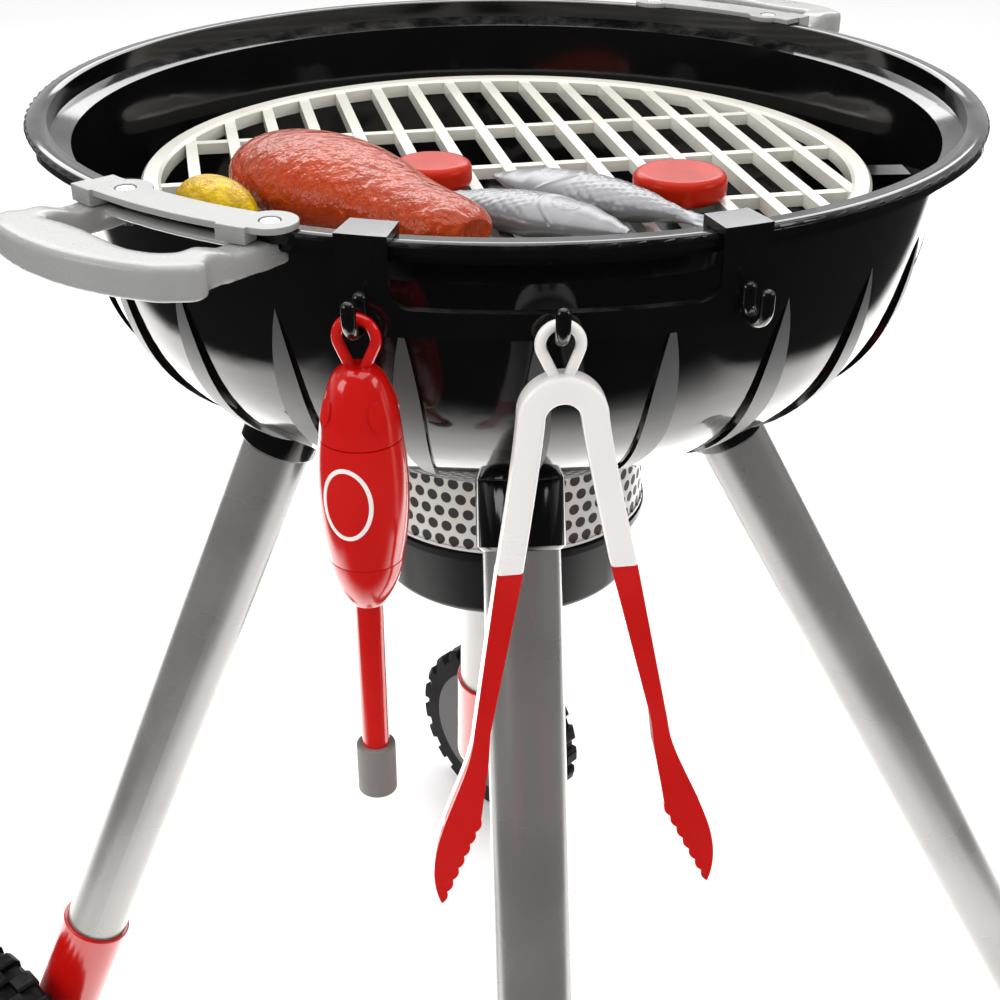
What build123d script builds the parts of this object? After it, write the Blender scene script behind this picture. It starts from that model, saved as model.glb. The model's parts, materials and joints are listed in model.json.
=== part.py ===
from build123d import *
import math
import os

# Toy kettle barbecue grill on four tube legs, in millimetres.
# The origin is on the floor under the bowl's axis and +Z is up. The front leg is towards -Y.
# Azimuths are in degrees from -Y, and grow towards +X. Heights are from the floor.

# Driving dimensions
rim_radius = 165.0
rim_height = 507.0
bowl_depth = 126.5
bowl_wall = 2.8
full_turn = 360.0
seat_gap = 0.15
overrun = 4.0
upright = (Align.CENTER, Align.CENTER, Align.MIN)
hanging = (Align.CENTER, Align.CENTER, Align.MAX)

# Rim of the bowl
rim_width = 7.5
rim_lip_drop = 3.3
rim_step_drop = 6.2
rim_step_inset = 3.5
rim_round = 1.1

# Wall of the bowl: radius as a share of the rim radius, drop as a share of the bowl's depth
bowl_wall_shares = [
    (0.930, 0.073), (0.901, 0.304), (0.844, 0.536), (0.690, 0.740), (0.4915, 0.888), (0.330, 1.0),
]
profile_steps = 12

# Lens-shaped ribs on the outside of the bowl
rib_count = 24
rib_top_share = 0.229
rib_bottom_share = 0.767
rib_width = 8.6
rib_raise = 1.7
rib_root = 1.0
rib_steps = 9

# Rests inside the bowl that carry the grate
rest_count = 4
rest_width = 12.0
rest_thick = 3.0
rest_reach = 7.0
rest_web_drop = 14.0
rest_web_thick = 2.4

# Vent band and ash pot under the bowl
band_radius_share = 0.329
band_height = 30.4
band_wall = 2.2
band_bead = 1.2
pot_lip_overhang = 1.1
pot_lip_height = 2.4
pot_top_inset = 1.5
pot_bottom_inset = 3.1
pot_height = 30.0
pot_wall = 2.0
pot_round = 3.5
pot_neck_drop = 1.2

# Screws through the bowl's floor into the ash pot
floor_screw_count = 3
floor_screw_ring_share = 0.194
floor_screw_radius = 1.6
floor_screw_head_radius = 3.4
floor_screw_head_height = 1.8
floor_boss_radius = 4.6

# Legs: the axis passes through this share of the rim radius at this drop below the bowl's floor
leg_azimuths = {"front": 0.0, "right": 90.0, "rear": 180.0, "left": 270.0}
leg_pass_share = 0.5485
leg_pass_below = 11.0
plain_leg_slope = 0.552
wheel_leg_slope = 0.4156
tube_radius = 13.6
tube_wall = 1.4
tube_top_above = 7.5
leg_fit = 0.1

# Sockets that hold the tubes under the bowl: heights from the bowl's floor
socket_radius = 15.6
socket_end_below = 9.0
socket_top_above = 34.5
socket_round = 1.4

# Feet on the plain legs
foot_radius = 16.2
foot_height = 26.0

# Wheels: near face distance from the axle's crossing point on the leg line
wheel_radius = 55.8
wheel_thick = 22.5
wheel_near = 4.6
wheel_shift = 6.7
wheel_turn = 45.0
lug_count = 22
lug_height = 3.4
lug_share = 0.52
tyre_depth = 14.6
tyre_shoulder = 2.6
hub_disc_thick = 3.0
hub_flange_thick = 2.2
hub_boss_radius = 9.5
hub_dish = 6.5
hub_spoke_count = 6
hub_spoke_thick = 2.4
hub_fit = 0.05
axle_radius = 3.2
axle_fit = 0.06
axle_root = 15.0
axle_cap_radius = 7.0
axle_cap_thick = 3.4
axle_side_gap = 0.6

# Sleeves that carry the wheels
sleeve_radius = 15.4
sleeve_top = 128.0
sleeve_wheel_gap = 0.8
sleeve_rim_round = 0.8
sleeve_tube_end = 84.0

# Hook rail on the front of the rim
rail_turn = 1.2
rail_half_angle = 20.6
clip_angle = 5.1
rail_thick = 3.0
rail_gap = 0.35
rail_rise = 2.8
rail_bottom_drop = 25.2
rail_window_drop = 17.4
rail_window_round = 6.0
rail_corner_round = 8.0
rail_lip_thick = 2.0
rail_lip_drop = 3.6
hook_spacing = 18.2
hook_wire_radius = 2.2
hook_bar_radius = 1.9
hook_bar_half_width = 2.1
hook_valley_drop = 22.3
hook_bend = 4.0
hook_tip_bend = 5.5
hook_stem_drop = 14.5
hook_tip_drop = 13.6

# Things that hang on the hooks
hang_gap = 0.3
loop_wire_radius = 1.6
loop_radius = 5.5
loop_neck_drop = 33.6

# Igniter: radii and drops below the rim
igniter_cap_shares = [(0.30, 0.0), (0.47, 0.07), (0.70, 0.36), (0.83, 0.66), (0.90, 1.0)]
igniter_radius = 13.0
igniter_cap_drop = 31.8
igniter_seam_drop = 52.5
igniter_widest_drop = 69.5
igniter_low_seam_drop = 90.6
igniter_low_radius = 11.0
igniter_nose_drop = 106.3
igniter_nose_radius = 5.4
igniter_rod_radius = 4.25
igniter_rod_end_drop = 164.5
igniter_tip_radius = 6.05
igniter_tip_top_drop = 158.4
igniter_tip_end_drop = 176.4
igniter_tip_round = 0.9
igniter_seam_groove = 0.4
igniter_pad_count = 4
igniter_pad_drop = 43.5
igniter_pad_width = 5.0
igniter_pad_height = 8.0
igniter_pad_raise = 0.55

# Tongs: half outline from the middle, as distance from the middle and drop below the rim
tongs_lean = 2.4
tongs_depth = 8.0
tongs_blade_depth = 7.0
tongs_bow_outer = 12.6
tongs_bow_inner = 5.0
tongs_crown_drop = 32.4
tongs_crown_share = 0.98
tongs_arch_drop = 40.4
tongs_joint_drop = 46.0
tongs_joint_gap = 0.3
tongs_white_end_drop = 92.0
tongs_white_outer = 20.3
tongs_white_inner = 12.6
tongs_neck_drop = 148.0
tongs_neck_outer = 29.6
tongs_neck_inner = 24.6
tongs_blade_outer = 40.6
tongs_blade_outer_drop = 182.0
tongs_tip_outer = 45.0
tongs_tip_outer_drop = 206.0
tongs_tip = 43.4
tongs_tip_drop = 214.0
tongs_blade_inner = 25.6
tongs_blade_inner_drop = 159.0
tongs_tooth_start = 29.0
tongs_tooth_start_drop = 181.0
tongs_tooth_count = 7
tongs_tooth_bite = 0.9
tongs_plug = 6.0
tongs_plug_wall = 1.6

# Side handles: insets and reaches are from the rim radius
handle_azimuths = {"left": -38.6, "right": 141.4}
handle_clip_angles = (-11.9, 11.8)
handle_clip_inset = 7.2
handle_clip_overhang = 5.4
handle_clip_thick = 1.9
handle_clip_gap = 0.3
handle_lobe_radius = 8.0
handle_tab_half_angle = 1.6
handle_tab_angles = (-10.6, 9.3)
handle_tab_overhang = 6.5
handle_tab_drop = 2.8
handle_screw_angles = (-7.2, 11.8)
handle_screw_inset = 2.6
handle_screw_radius = 1.5
handle_screw_head_radius = 2.9
handle_screw_head_height = 0.8
handle_screw_recess = 1.0
handle_screw_length = 10.0
grip_half_width = 39.0
grip_outer_reach = 41.0
grip_corner_reach = 35.2
grip_corner_half = 31.0
grip_back_reach = 22.5
grip_wave = 2.2
grip_arm_outer = 35.5
grip_arm_inner = 25.5
grip_root_inset = 11.0
grip_root_bottom_drop = 11.0
grip_flange_reach = 3.2
grip_flange_thick = 2.4
grip_bar_drop = 10.0
grip_bar_start_reach = 17.0
grip_neck_reach = 8.0
grip_neck_drop = 3.0
grip_round = 2.0

# Grate
grate_turn = 8.0
grate_share = 0.78485
grate_ring_width = 7.0
grate_top_drop = 25.0
grate_thick = 5.6
grate_bar_width = 4.2
grate_bar_pitch = 15.8
grate_cross_width = 4.2
grate_cross_offset = 52.0
grate_cross_count = 3
grate_bar_sink = 0.8
grate_round = 1.0

# Play food, for a grate of this radius: places are (x, y) or (x, y, turn in degrees)
food_grate_radius = 129.5
food_gap = 0.1
food_sole = 0.5
drumstick_place = (-51.0, -75.0, -49.7)
drumstick_length = 106.0
drumstick_radius = 23.5
drumstick_shares = [
    (0.40, 0.0), (0.74, 0.07), (1.0, 0.30), (0.90, 0.52), (0.66, 0.74), (0.54, 0.92), (0.30, 1.0),
]
drumstick_flat_share = 0.62
fish_length = 92.0
fish_width = 26.0
fish_thick = 13.0
fish_places = {"front": (0.3, -75.7, 145.7), "back": (29.4, -64.4, -40.5)}
fish_length_shares = {"front": 0.815, "back": 1.0}
fish_outline_shares = [(0.0, 0.0), (0.06, 0.17), (0.18, 0.38), (0.36, 0.5), (0.60, 0.38), (0.80, 0.13)]
fish_tail_share = 0.31
fish_tail_thick = 3.0
corn_place = (-95.5, -79.0, -49.7)
corn_length = 34.0
corn_width = 21.0
corn_height = 20.0
tomato_places = [(56.0, -43.0, 1.0), (-27.0, -26.0, 0.85)]
tomato_radius = 16.0
tomato_thick = 9.0
tomato_round = 3.0

# Sizes that follow
band_radius = rim_radius * band_radius_share
pot_lip_radius = band_radius + pot_lip_overhang
pot_top_radius = band_radius - pot_top_inset
pot_bottom_radius = band_radius - pot_bottom_inset
floor_screw_ring_radius = rim_radius * floor_screw_ring_share
leg_pass_radius = rim_radius * leg_pass_share
leg_pass_drop = bowl_depth + leg_pass_below
tube_top_drop = bowl_depth - tube_top_above
socket_end_drop = bowl_depth + socket_end_below
socket_top_drop = bowl_depth - socket_top_above
handle_clip_inner_radius = rim_radius - handle_clip_inset
handle_clip_outer_radius = rim_radius + handle_clip_overhang
handle_tab_outer_radius = rim_radius + handle_tab_overhang
handle_screw_ring_radius = rim_radius - handle_screw_inset
tyre_inner_radius = wheel_radius - tyre_depth
grip_back = rim_radius + grip_back_reach
grip_root = rim_radius - grip_root_inset
grate_radius = rim_radius * grate_share
food_size = grate_radius / food_grate_radius


def down(drop):
    """Height above the floor of a point at a drop below the rim."""
    return rim_height - drop


def turned(shape, azimuth):
    """Turn a shape built at the front to its azimuth."""
    return Rot(0, 0, azimuth) * shape


def spaced(shape, count):
    """Copies of a shape built at the front, evenly spaced round the bowl's axis."""
    return [turned(shape, full_turn / count * index) for index in range(count)]


def wall_points():
    """Outer wall of the bowl from the rim down to the floor of the bowl, as (radius, height)."""
    return [(rim_radius * r, down(bowl_depth * d)) for r, d in bowl_wall_shares]


wall_curve = Spline(*wall_points())


def wall_offset(share, distance):
    """A point at a share of the wall curve, moved outwards by a distance."""
    at = wall_curve @ share
    along = wall_curve % share
    length = math.hypot(along.X, along.Y)
    return (at.X - along.Y / length * distance, at.Y + along.X / length * distance)


def revolved(points, angle=full_turn):
    """Revolve a closed outline of (radius, height) points about the vertical axis."""
    outline = Polyline(*points, close=True)
    return revolve(Plane.XZ * make_face(outline), Axis.Z, angle)


def sector(points, half_angle):
    """Revolve an outline of (radius, height) points to both sides of the front."""
    outline = Polyline(*points, close=True)
    start = Rot(0, 0, -half_angle) * (radial_plane * make_face(outline))
    return revolve(start, Axis.Z, half_angle * 2)


# Local x runs outwards at the front and local y runs up
radial_plane = Plane(origin=(0, 0, 0), x_dir=(0, -1, 0), z_dir=(-1, 0, 0))


def rim_outline(spread):
    """Outer side of the rim from the top of the wall up to the flat top, grown by a spread."""
    return [
        (rim_radius - rim_step_inset + spread, down(rim_step_drop + spread)),
        (rim_radius - rim_step_inset + spread, down(rim_lip_drop + spread)),
        (rim_radius + spread, down(rim_lip_drop + spread)),
    ]


def bowl_envelope(spread):
    """Solid outer form of the bowl, grown by a spread, for trimming what seats on it."""
    steps = range(profile_steps, -1, -1)
    side = [wall_offset(step / profile_steps, spread) for step in steps]
    points = [(0, down(bowl_depth + spread))] + side + rim_outline(spread)
    points += [(rim_radius + spread, down(-spread)), (0, down(-spread))]
    return revolved(points)


def wall_share(height):
    """Share of the wall curve at which it comes down to a height."""
    count = profile_steps**2
    return sum(1 for step in range(count) if (wall_curve @ (step / count)).Y > height) / count


def bowl_rib():
    """One lens-shaped rib at the front."""
    top = down(bowl_depth * rib_top_share)
    bottom = down(bowl_depth * rib_bottom_share)
    middle = (top + bottom) / 2
    first = wall_share(top)
    last = wall_share(bottom)
    shares = [step / (rib_steps - 1) for step in range(rib_steps)]
    places = [first + (last - first) * share for share in shares]
    raised = [
        wall_offset(place, rib_raise * math.sqrt(math.sin(math.pi * share)))
        for place, share in zip(places, shares)
    ]
    rooted = [wall_offset(place, -rib_root) for place in places]
    outline = Spline(*raised) + Line(raised[-1], rooted[-1])
    outline += Spline(*reversed(rooted)) + Line(rooted[0], raised[0])
    half_angle = math.degrees(rib_width / rim_radius)
    start = Rot(0, 0, -half_angle) * (radial_plane * make_face(outline))
    band = revolve(start, Axis.Z, half_angle * 2)
    lens = ThreePointArc((0, top), (rib_width / 2, middle), (0, bottom))
    lens += ThreePointArc((0, bottom), (-rib_width / 2, middle), (0, top))
    prism = extrude(Plane.XZ * make_face(lens), rim_radius)
    return band & prism


def grate_rest():
    """One rest on the inside of the wall at the front, with its web under it."""
    top = down(grate_top_drop + grate_thick)
    inner = grate_radius - rest_reach
    shelf = Box(rest_width, rest_reach * 4, rest_thick, align=hanging)
    shelf = Pos(0, -inner - rest_reach * 2, top) * shelf
    web = Polyline((inner, top), (rim_radius, top), (rim_radius, top - rest_web_drop), close=True)
    web = extrude(radial_plane * make_face(web), rest_web_thick / 2, both=True)
    steps = range(profile_steps, -1, -1)
    core = [wall_offset(step / profile_steps, -bowl_wall / 2) for step in steps]
    core = revolved([(0, down(bowl_depth))] + core + [(0, core[-1][1])])
    return (shelf + web) & core


def make_kettle_bowl():
    inner = [wall_offset(step / profile_steps, -bowl_wall) for step in range(profile_steps + 1)]
    wall_top = wall_points()[0]
    wall_end = wall_points()[-1]
    floor_top = down(bowl_depth - bowl_wall)
    inner = [point for point in inner if point[1] > floor_top]
    outline = Line((0, down(bowl_depth)), wall_end)
    outline += Spline(*[wall_offset(step / profile_steps, 0) for step in range(profile_steps, -1, -1)])
    lip = rim_outline(0)
    outline += Polyline(wall_top, *lip, (rim_radius, down(rim_round)))
    outline += RadiusArc((rim_radius, down(rim_round)), (rim_radius - rim_round, down(0)), -rim_round)
    rim_inner = rim_radius - rim_width
    outline += Polyline(
        (rim_radius - rim_round, down(0)),
        (rim_inner, down(0)),
        (rim_inner, down(rim_step_drop)),
        inner[0],
    )
    outline += Spline(*inner)
    floor_start = inner[-1][0] - bowl_wall
    outline += Polyline(inner[-1], (floor_start, floor_top), (0, floor_top), (0, down(bowl_depth)))
    bowl = revolve(Plane.XZ * make_face(outline), Axis.Z)
    bowl = bowl.fuse(*spaced(bowl_rib(), rib_count), *spaced(grate_rest(), rest_count))
    hole = Cylinder(floor_screw_radius + leg_fit, overrun * 4)
    for hole in spaced(Pos(0, -floor_screw_ring_radius, down(bowl_depth)) * hole, floor_screw_count):
        bowl -= hole
    for azimuth in handle_azimuths.values():
        for angle in handle_screw_angles:
            spot = turned(screw_spot(angle), azimuth)
            bowl -= spot * Cylinder(handle_screw_radius + leg_fit, handle_screw_length * 2)
    return bowl


def make_vent_band():
    top = down(bowl_depth + seat_gap)
    bottom = top - band_height
    outer = band_radius
    points = [
        (outer - band_wall, top), (outer + band_bead / 2, top), (outer + band_bead / 2, top - band_bead),
        (outer, top - band_bead), (outer, bottom + band_bead), (outer + band_bead / 2, bottom + band_bead),
        (outer + band_bead / 2, bottom), (outer - band_wall, bottom),
    ]
    return revolved(points)


def make_ash_pot():
    top = down(bowl_depth + seat_gap + band_height + seat_gap)
    lip_low = top - pot_neck_drop - pot_lip_height
    bottom = top - pot_height
    round_start = (pot_bottom_radius - pot_round, bottom)
    round_end = (pot_bottom_radius, bottom + pot_round)
    outline = Line((0, bottom), round_start) + RadiusArc(round_start, round_end, -pot_round)
    outline += Polyline(
        round_end,
        (pot_top_radius, lip_low),
        (pot_lip_radius, lip_low),
        (pot_lip_radius, top - pot_neck_drop),
        (band_radius, top - pot_neck_drop),
        (band_radius, top),
        (0, top),
        (0, top - pot_wall),
        (pot_top_radius - pot_wall, top - pot_wall),
        (pot_bottom_radius - pot_wall, bottom + pot_wall),
        (0, bottom + pot_wall),
        (0, bottom),
    )
    pot = revolve(Plane.XZ * make_face(outline), Axis.Z)
    post_top = down(bowl_depth + seat_gap)
    post_height = post_top - top
    post = Cylinder(floor_boss_radius, post_height, align=upright)
    bore = Cylinder(floor_screw_radius, post_height, align=upright)
    pot = pot.fuse(*spaced(Pos(0, -floor_screw_ring_radius, top) * post, floor_screw_count))
    for hole in spaced(Pos(0, -floor_screw_ring_radius, top + pot_wall) * bore, floor_screw_count):
        pot -= hole
    return pot


def make_floor_screws():
    head = Cylinder(floor_screw_head_radius, floor_screw_head_height, align=upright)
    head = fillet(head.edges().group_by(Axis.Z)[-1], floor_screw_head_height / 3)
    length = band_height / 2 + bowl_wall
    shank = Cylinder(floor_screw_radius - hub_fit, length, align=hanging)
    seat = Pos(0, -floor_screw_ring_radius, down(bowl_depth - bowl_wall))
    return spaced(seat * (head + shank), floor_screw_count)


def leg_slope(name):
    return wheel_leg_slope if name in ("rear", "left") else plain_leg_slope


def leg_radius_at(name, height):
    """Distance of a leg's axis from the bowl's axis at a height."""
    return leg_pass_radius + leg_slope(name) * (down(leg_pass_drop) - height)


def leg_plane(name, height):
    """Plane at the front across the leg at a height; its normal runs up the leg."""
    slope = leg_slope(name)
    return Plane(
        origin=(0, -leg_radius_at(name, height), height),
        x_dir=(1, 0, 0),
        z_dir=(0, slope, 1),
    )


def leg_length(name, high, low):
    return (high - low) * math.hypot(1, leg_slope(name))


def leg_rod(name, radius, high, low):
    """Round bar along a leg between two heights of its axis, at the front."""
    return extrude(leg_plane(name, low) * Circle(radius), leg_length(name, high, low))


def make_leg_tube(name):
    top = down(tube_top_drop)
    low = sleeve_tube_end if name in ("rear", "left") else foot_height / 2
    tube = leg_rod(name, tube_radius, top, low)
    tube -= leg_rod(name, tube_radius - tube_wall, top + overrun, low - overrun)
    return turned(tube, leg_azimuths[name])


def make_leg_socket(name, envelope):
    low = down(socket_end_drop)
    high = down(socket_top_drop)
    body = leg_rod(name, socket_radius, high, low)
    body = chamfer(body.edges().group_by(Axis.Z)[0], socket_round)
    bore = leg_rod(name, tube_radius + leg_fit, down(tube_top_drop) + seat_gap, low - overrun)
    return turned(body - envelope - bore, leg_azimuths[name])


def make_foot_cap(name):
    high = foot_height
    cap = leg_rod(name, foot_radius, high, -foot_radius)
    cap = fillet(cap.edges().group_by(Axis.Z)[-1], socket_round)
    bore = leg_rod(name, tube_radius + leg_fit, high + foot_radius, foot_height / 2)
    ground = Pos(0, 0, -foot_radius) * Box(rim_radius * 8, rim_radius * 8, foot_radius * 2)
    return turned(cap - bore - ground, leg_azimuths[name])


def wheel_frame(name):
    """Plane of a wheel's near face: its origin is on the axle and its normal points away from the leg."""
    azimuth = math.radians(leg_azimuths[name])
    radius = leg_radius_at(name, wheel_radius) + wheel_shift
    turn = -wheel_turn if name == "rear" else wheel_turn
    facing = azimuth + math.radians(turn)
    out = Vector(math.sin(facing), -math.cos(facing), 0)
    centre = Vector(radius * math.sin(azimuth), -radius * math.cos(azimuth), wheel_radius)
    return Plane(origin=centre + out * wheel_near, x_dir=(0, 0, 1), z_dir=out)


def tyre_lugs():
    """Two staggered rows of tread lugs."""
    base = wheel_radius - lug_height
    shoulder = wheel_radius - lug_height / 4
    pitch = full_turn / lug_count
    wide = base * math.radians(pitch) * lug_share / 2
    narrow = wide * 2 / 3
    tooth = Polyline(
        (base - lug_height, -wide), (shoulder, -wide), (wheel_radius, -narrow),
        (wheel_radius, narrow), (shoulder, wide), (base - lug_height, wide), close=True,
    )
    lug = extrude(make_face(tooth), wheel_thick / 2)
    near = spaced(lug, lug_count)
    far = spaced(Pos(0, 0, wheel_thick / 2) * turned(lug, pitch / 2), lug_count)
    return near + far


def make_tyre(name):
    base = wheel_radius - lug_height
    inner = tyre_inner_radius
    ring = Polyline(
        (inner, 0), (base - tyre_shoulder, 0), (base, tyre_shoulder), (base, wheel_thick - tyre_shoulder),
        (base - tyre_shoulder, wheel_thick), (inner, wheel_thick), close=True,
    )
    ring = revolve(Plane.XZ * make_face(ring), Axis.Z)
    tyre = ring.fuse(*tyre_lugs())
    trim = Polyline(
        (0, 0), (wheel_radius - tyre_shoulder, 0), (wheel_radius, tyre_shoulder),
        (wheel_radius, wheel_thick - tyre_shoulder), (wheel_radius - tyre_shoulder, wheel_thick),
        (0, wheel_thick), close=True,
    )
    tyre = tyre & revolve(Plane.XZ * make_face(trim), Axis.Z)
    bore = Cylinder(inner, wheel_thick + overrun * 2, align=upright)
    return wheel_frame(name).location * (tyre - Pos(0, 0, -overrun) * bore)


def make_hub(name):
    outer = tyre_inner_radius - hub_fit
    rim_inner = outer - hub_flange_thick
    points = [
        (0, 0), (hub_boss_radius, 0), (rim_inner, 0), (outer, 0), (outer, wheel_thick),
        (rim_inner, wheel_thick), (rim_inner, hub_disc_thick), (hub_boss_radius, hub_disc_thick),
        (hub_boss_radius, wheel_thick), (0, wheel_thick),
    ]
    hub = revolved(points)
    hub -= Cylinder(axle_radius + axle_fit, wheel_thick * 4)
    spoke_height = wheel_thick - hub_dish
    spoke_length = rim_inner - hub_boss_radius + hub_flange_thick
    spoke = Box(spoke_length, hub_spoke_thick, spoke_height, align=(Align.MIN, Align.CENTER, Align.MIN))
    spoke = Pos(hub_boss_radius - hub_flange_thick / 2, 0, 0) * spoke
    hub = hub.fuse(*spaced(spoke, hub_spoke_count))
    return wheel_frame(name).location * hub


def make_axle(name):
    length = axle_root + wheel_near + wheel_thick + axle_side_gap + axle_cap_thick
    pin = Cylinder(axle_radius, length - axle_cap_thick / 2, align=upright)
    return wheel_frame(name).location * Pos(0, 0, -axle_root - wheel_near) * pin


def make_axle_cap(name):
    start = wheel_thick + axle_side_gap
    cap = Cylinder(axle_cap_radius, axle_cap_thick, align=upright)
    cap = fillet(cap.edges().group_by(Axis.Z)[-1], axle_cap_thick / 2)
    cap -= Cylinder(axle_radius, axle_cap_thick / 2, align=upright)
    return wheel_frame(name).location * Pos(0, 0, start) * cap


def make_wheel_sleeve(name):
    body = leg_rod(name, sleeve_radius, sleeve_top, wheel_radius)
    body = fillet(body.edges().group_by(Axis.Z)[-1], sleeve_rim_round)
    ball = leg_plane(name, wheel_radius).location * Sphere(sleeve_radius)
    body = turned(body + ball, leg_azimuths[name])
    bore = leg_rod(name, tube_radius + leg_fit, sleeve_top + overrun, sleeve_tube_end)
    bore = turned(bore, leg_azimuths[name])
    frame = wheel_frame(name)
    beyond = wheel_radius * 4
    side = Box(beyond, beyond, beyond, align=upright)
    hole = Cylinder(axle_radius + hub_fit, beyond)
    root = axle_root + wheel_near + hub_fit
    pocket = Pos(0, 0, beyond / 2 - root) * hole
    return body - bore - frame.location * Pos(0, 0, -sleeve_wheel_gap) * side - frame.location * pocket


def hook_path(radius):
    """Centre line of a J hook in the radial plane, from its stem to its upturned tip."""
    stem = radius
    valley = down(hook_valley_drop)
    low = Line((stem, down(hook_stem_drop)), (stem, valley + hook_bend))
    bend = RadiusArc((stem, valley + hook_bend), (stem + hook_bend, valley), -hook_bend)
    tip_radius = stem + hook_bend + hook_tip_bend
    rise = RadiusArc((stem + hook_bend, valley), (tip_radius, valley + hook_tip_bend), -hook_tip_bend)
    tip = Line((tip_radius, valley + hook_tip_bend), (tip_radius, down(hook_tip_drop)))
    return low + bend + rise + tip


def hook_stem_radius():
    return rim_radius + rail_gap + rail_thick + hook_wire_radius / 2


def hook_hang_radius():
    """Radius of the lowest point of a hook, where a loop hangs."""
    return hook_stem_radius() + hook_bend


def make_hook():
    path = hook_path(hook_stem_radius())
    edges = Curve() + [radial_plane * edge for edge in path.edges()]
    start = Plane(origin=edges @ 0, x_dir=(1, 0, 0), z_dir=edges % 0)
    bar = sweep(start * Ellipse(hook_bar_half_width, hook_bar_radius), path=edges)
    end_cap = ellipsoid(hook_bar_half_width * 2, hook_bar_radius * 2, hook_bar_radius * 2)
    for end in (edges @ 0, edges @ 1):
        bar += Pos(end.X, end.Y, end.Z) * end_cap
    return bar


def make_hook_rail():
    inner = rim_radius + rail_gap
    outer = inner + rail_thick
    top = down(-rail_rise)
    bottom = down(rail_bottom_drop)
    panel = sector([(inner, bottom), (outer, bottom), (outer, top), (inner, top)], rail_half_angle)
    clear_angle = math.radians(rail_half_angle - clip_angle)
    window_half = outer * math.sin(clear_angle)
    window_low = down(rail_window_drop)
    window = Rectangle(window_half * 2, rail_window_drop * 2, align=(Align.CENTER, Align.MIN))
    window = fillet(window.vertices().group_by(Axis.Y)[0], rail_window_round)
    window = extrude(Plane.XZ * Pos(0, window_low) * window, rim_radius * 2)
    side = outer * math.sin(math.radians(rail_half_angle)) * 2
    keep_height = rail_bottom_drop + rail_rise + overrun
    keep = Rectangle(side + overrun, keep_height, align=(Align.CENTER, Align.MIN))
    keep = Pos(0, bottom) * keep
    keep = fillet(keep.vertices().group_by(Axis.Y)[0], rail_corner_round)
    panel = (panel - window) & extrude(Plane.XZ * keep, rim_radius * 2)
    rim_inner = rim_radius - rim_width
    lip_inner = rim_inner - rail_gap - rail_lip_thick
    over = [
        (lip_inner, top), (outer, top), (outer, down(-rail_gap)),
        (rim_inner - rail_gap, down(-rail_gap)), (rim_inner - rail_gap, down(rail_lip_drop)),
        (lip_inner, down(rail_lip_drop)),
    ]
    for side in (-1, 1):
        clip = sector(over, clip_angle / 2)
        panel += turned(clip, side * (rail_half_angle - clip_angle / 2))
    for index in (-1, 0, 1):
        hook = make_hook()
        if index == 0:
            behind = hook_stem_radius() + hook_bend
            hook -= Pos(0, 0, down(0)) * Box(behind * 2, behind * 2, rail_window_drop * 2)
        panel += turned(hook, index * hook_spacing)
    return turned(panel, rail_turn)


def hang_location(index):
    """Place of a hanging thing: its own frame has +X to the right, +Z up, at the hook's azimuth."""
    return Rot(0, 0, rail_turn + index * hook_spacing) * Pos(0, -hook_hang_radius(), 0)


def pivot_drop():
    return hook_valley_drop


def loop_centre_drop():
    """The loop's inner top hangs a small gap over the hook's bar."""
    return hook_valley_drop - hook_bar_radius - hang_gap + loop_radius - loop_wire_radius


def make_loop(neck_half, neck_drop):
    """Wire loop that closes to a neck, in the plane across the hook."""
    centre = down(loop_centre_drop())
    neck = (neck_half, down(neck_drop))
    reach = math.hypot(neck_half, centre - neck[1])
    swing = math.acos(loop_radius / reach) + math.atan2(neck_half, centre - neck[1])
    side = (loop_radius * math.sin(swing), centre - loop_radius * math.cos(swing))
    arc = ThreePointArc((-side[0], side[1]), (0, centre + loop_radius), side)
    lines = Line((-neck[0], neck[1]), (-side[0], side[1])) + arc + Line(side, neck)
    path = Curve() + [Plane.XZ * edge for edge in lines.edges()]
    start = Plane(origin=path @ 0, z_dir=path % 0)
    return sweep(start * Circle(loop_wire_radius), path=path)


def make_igniter_cap():
    height = igniter_seam_drop - igniter_cap_drop
    points = [(igniter_radius * r, down(igniter_cap_drop + height * d)) for r, d in igniter_cap_shares]
    outline = Line((0, points[0][1]), points[0]) + Spline(*points)
    seam_radius, seam = points[-1]
    low = seam - igniter_seam_groove
    outline += Polyline(points[-1], (seam_radius - igniter_seam_groove, low), (0, low), (0, points[0][1]))
    cap = revolve(Plane.XZ * make_face(outline), Axis.Z)
    raised = [(r + igniter_pad_raise, z) for r, z in points]
    raised_outline = Line((0, points[0][1]), raised[0]) + Spline(*raised)
    raised_outline += Polyline(raised[-1], (0, seam), (0, points[0][1]))
    swollen = revolve(Plane.XZ * make_face(raised_outline), Axis.Z)
    for index in range(igniter_pad_count):
        oval = Ellipse(igniter_pad_width / 2, igniter_pad_height / 2)
        pad = extrude(Plane.XZ * Pos(0, down(igniter_pad_drop)) * oval, igniter_radius * 2) & swollen
        cap += turned(pad, full_turn / igniter_pad_count * (index + 1 / 2))
    cap += make_loop(loop_wire_radius, loop_neck_drop)
    return hang_location(-1) * cap


def make_igniter_body():
    top_radius = igniter_radius * igniter_cap_shares[-1][0]
    top = down(igniter_seam_drop + igniter_seam_groove)
    low = down(igniter_low_seam_drop)
    side = Spline((top_radius, top), (igniter_radius, down(igniter_widest_drop)), (igniter_low_radius, low))
    outline = Line((0, top), (top_radius, top)) + side
    outline += Polyline((igniter_low_radius, low), (0, low), (0, top))
    return hang_location(-1) * revolve(Plane.XZ * make_face(outline), Axis.Z)


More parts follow.
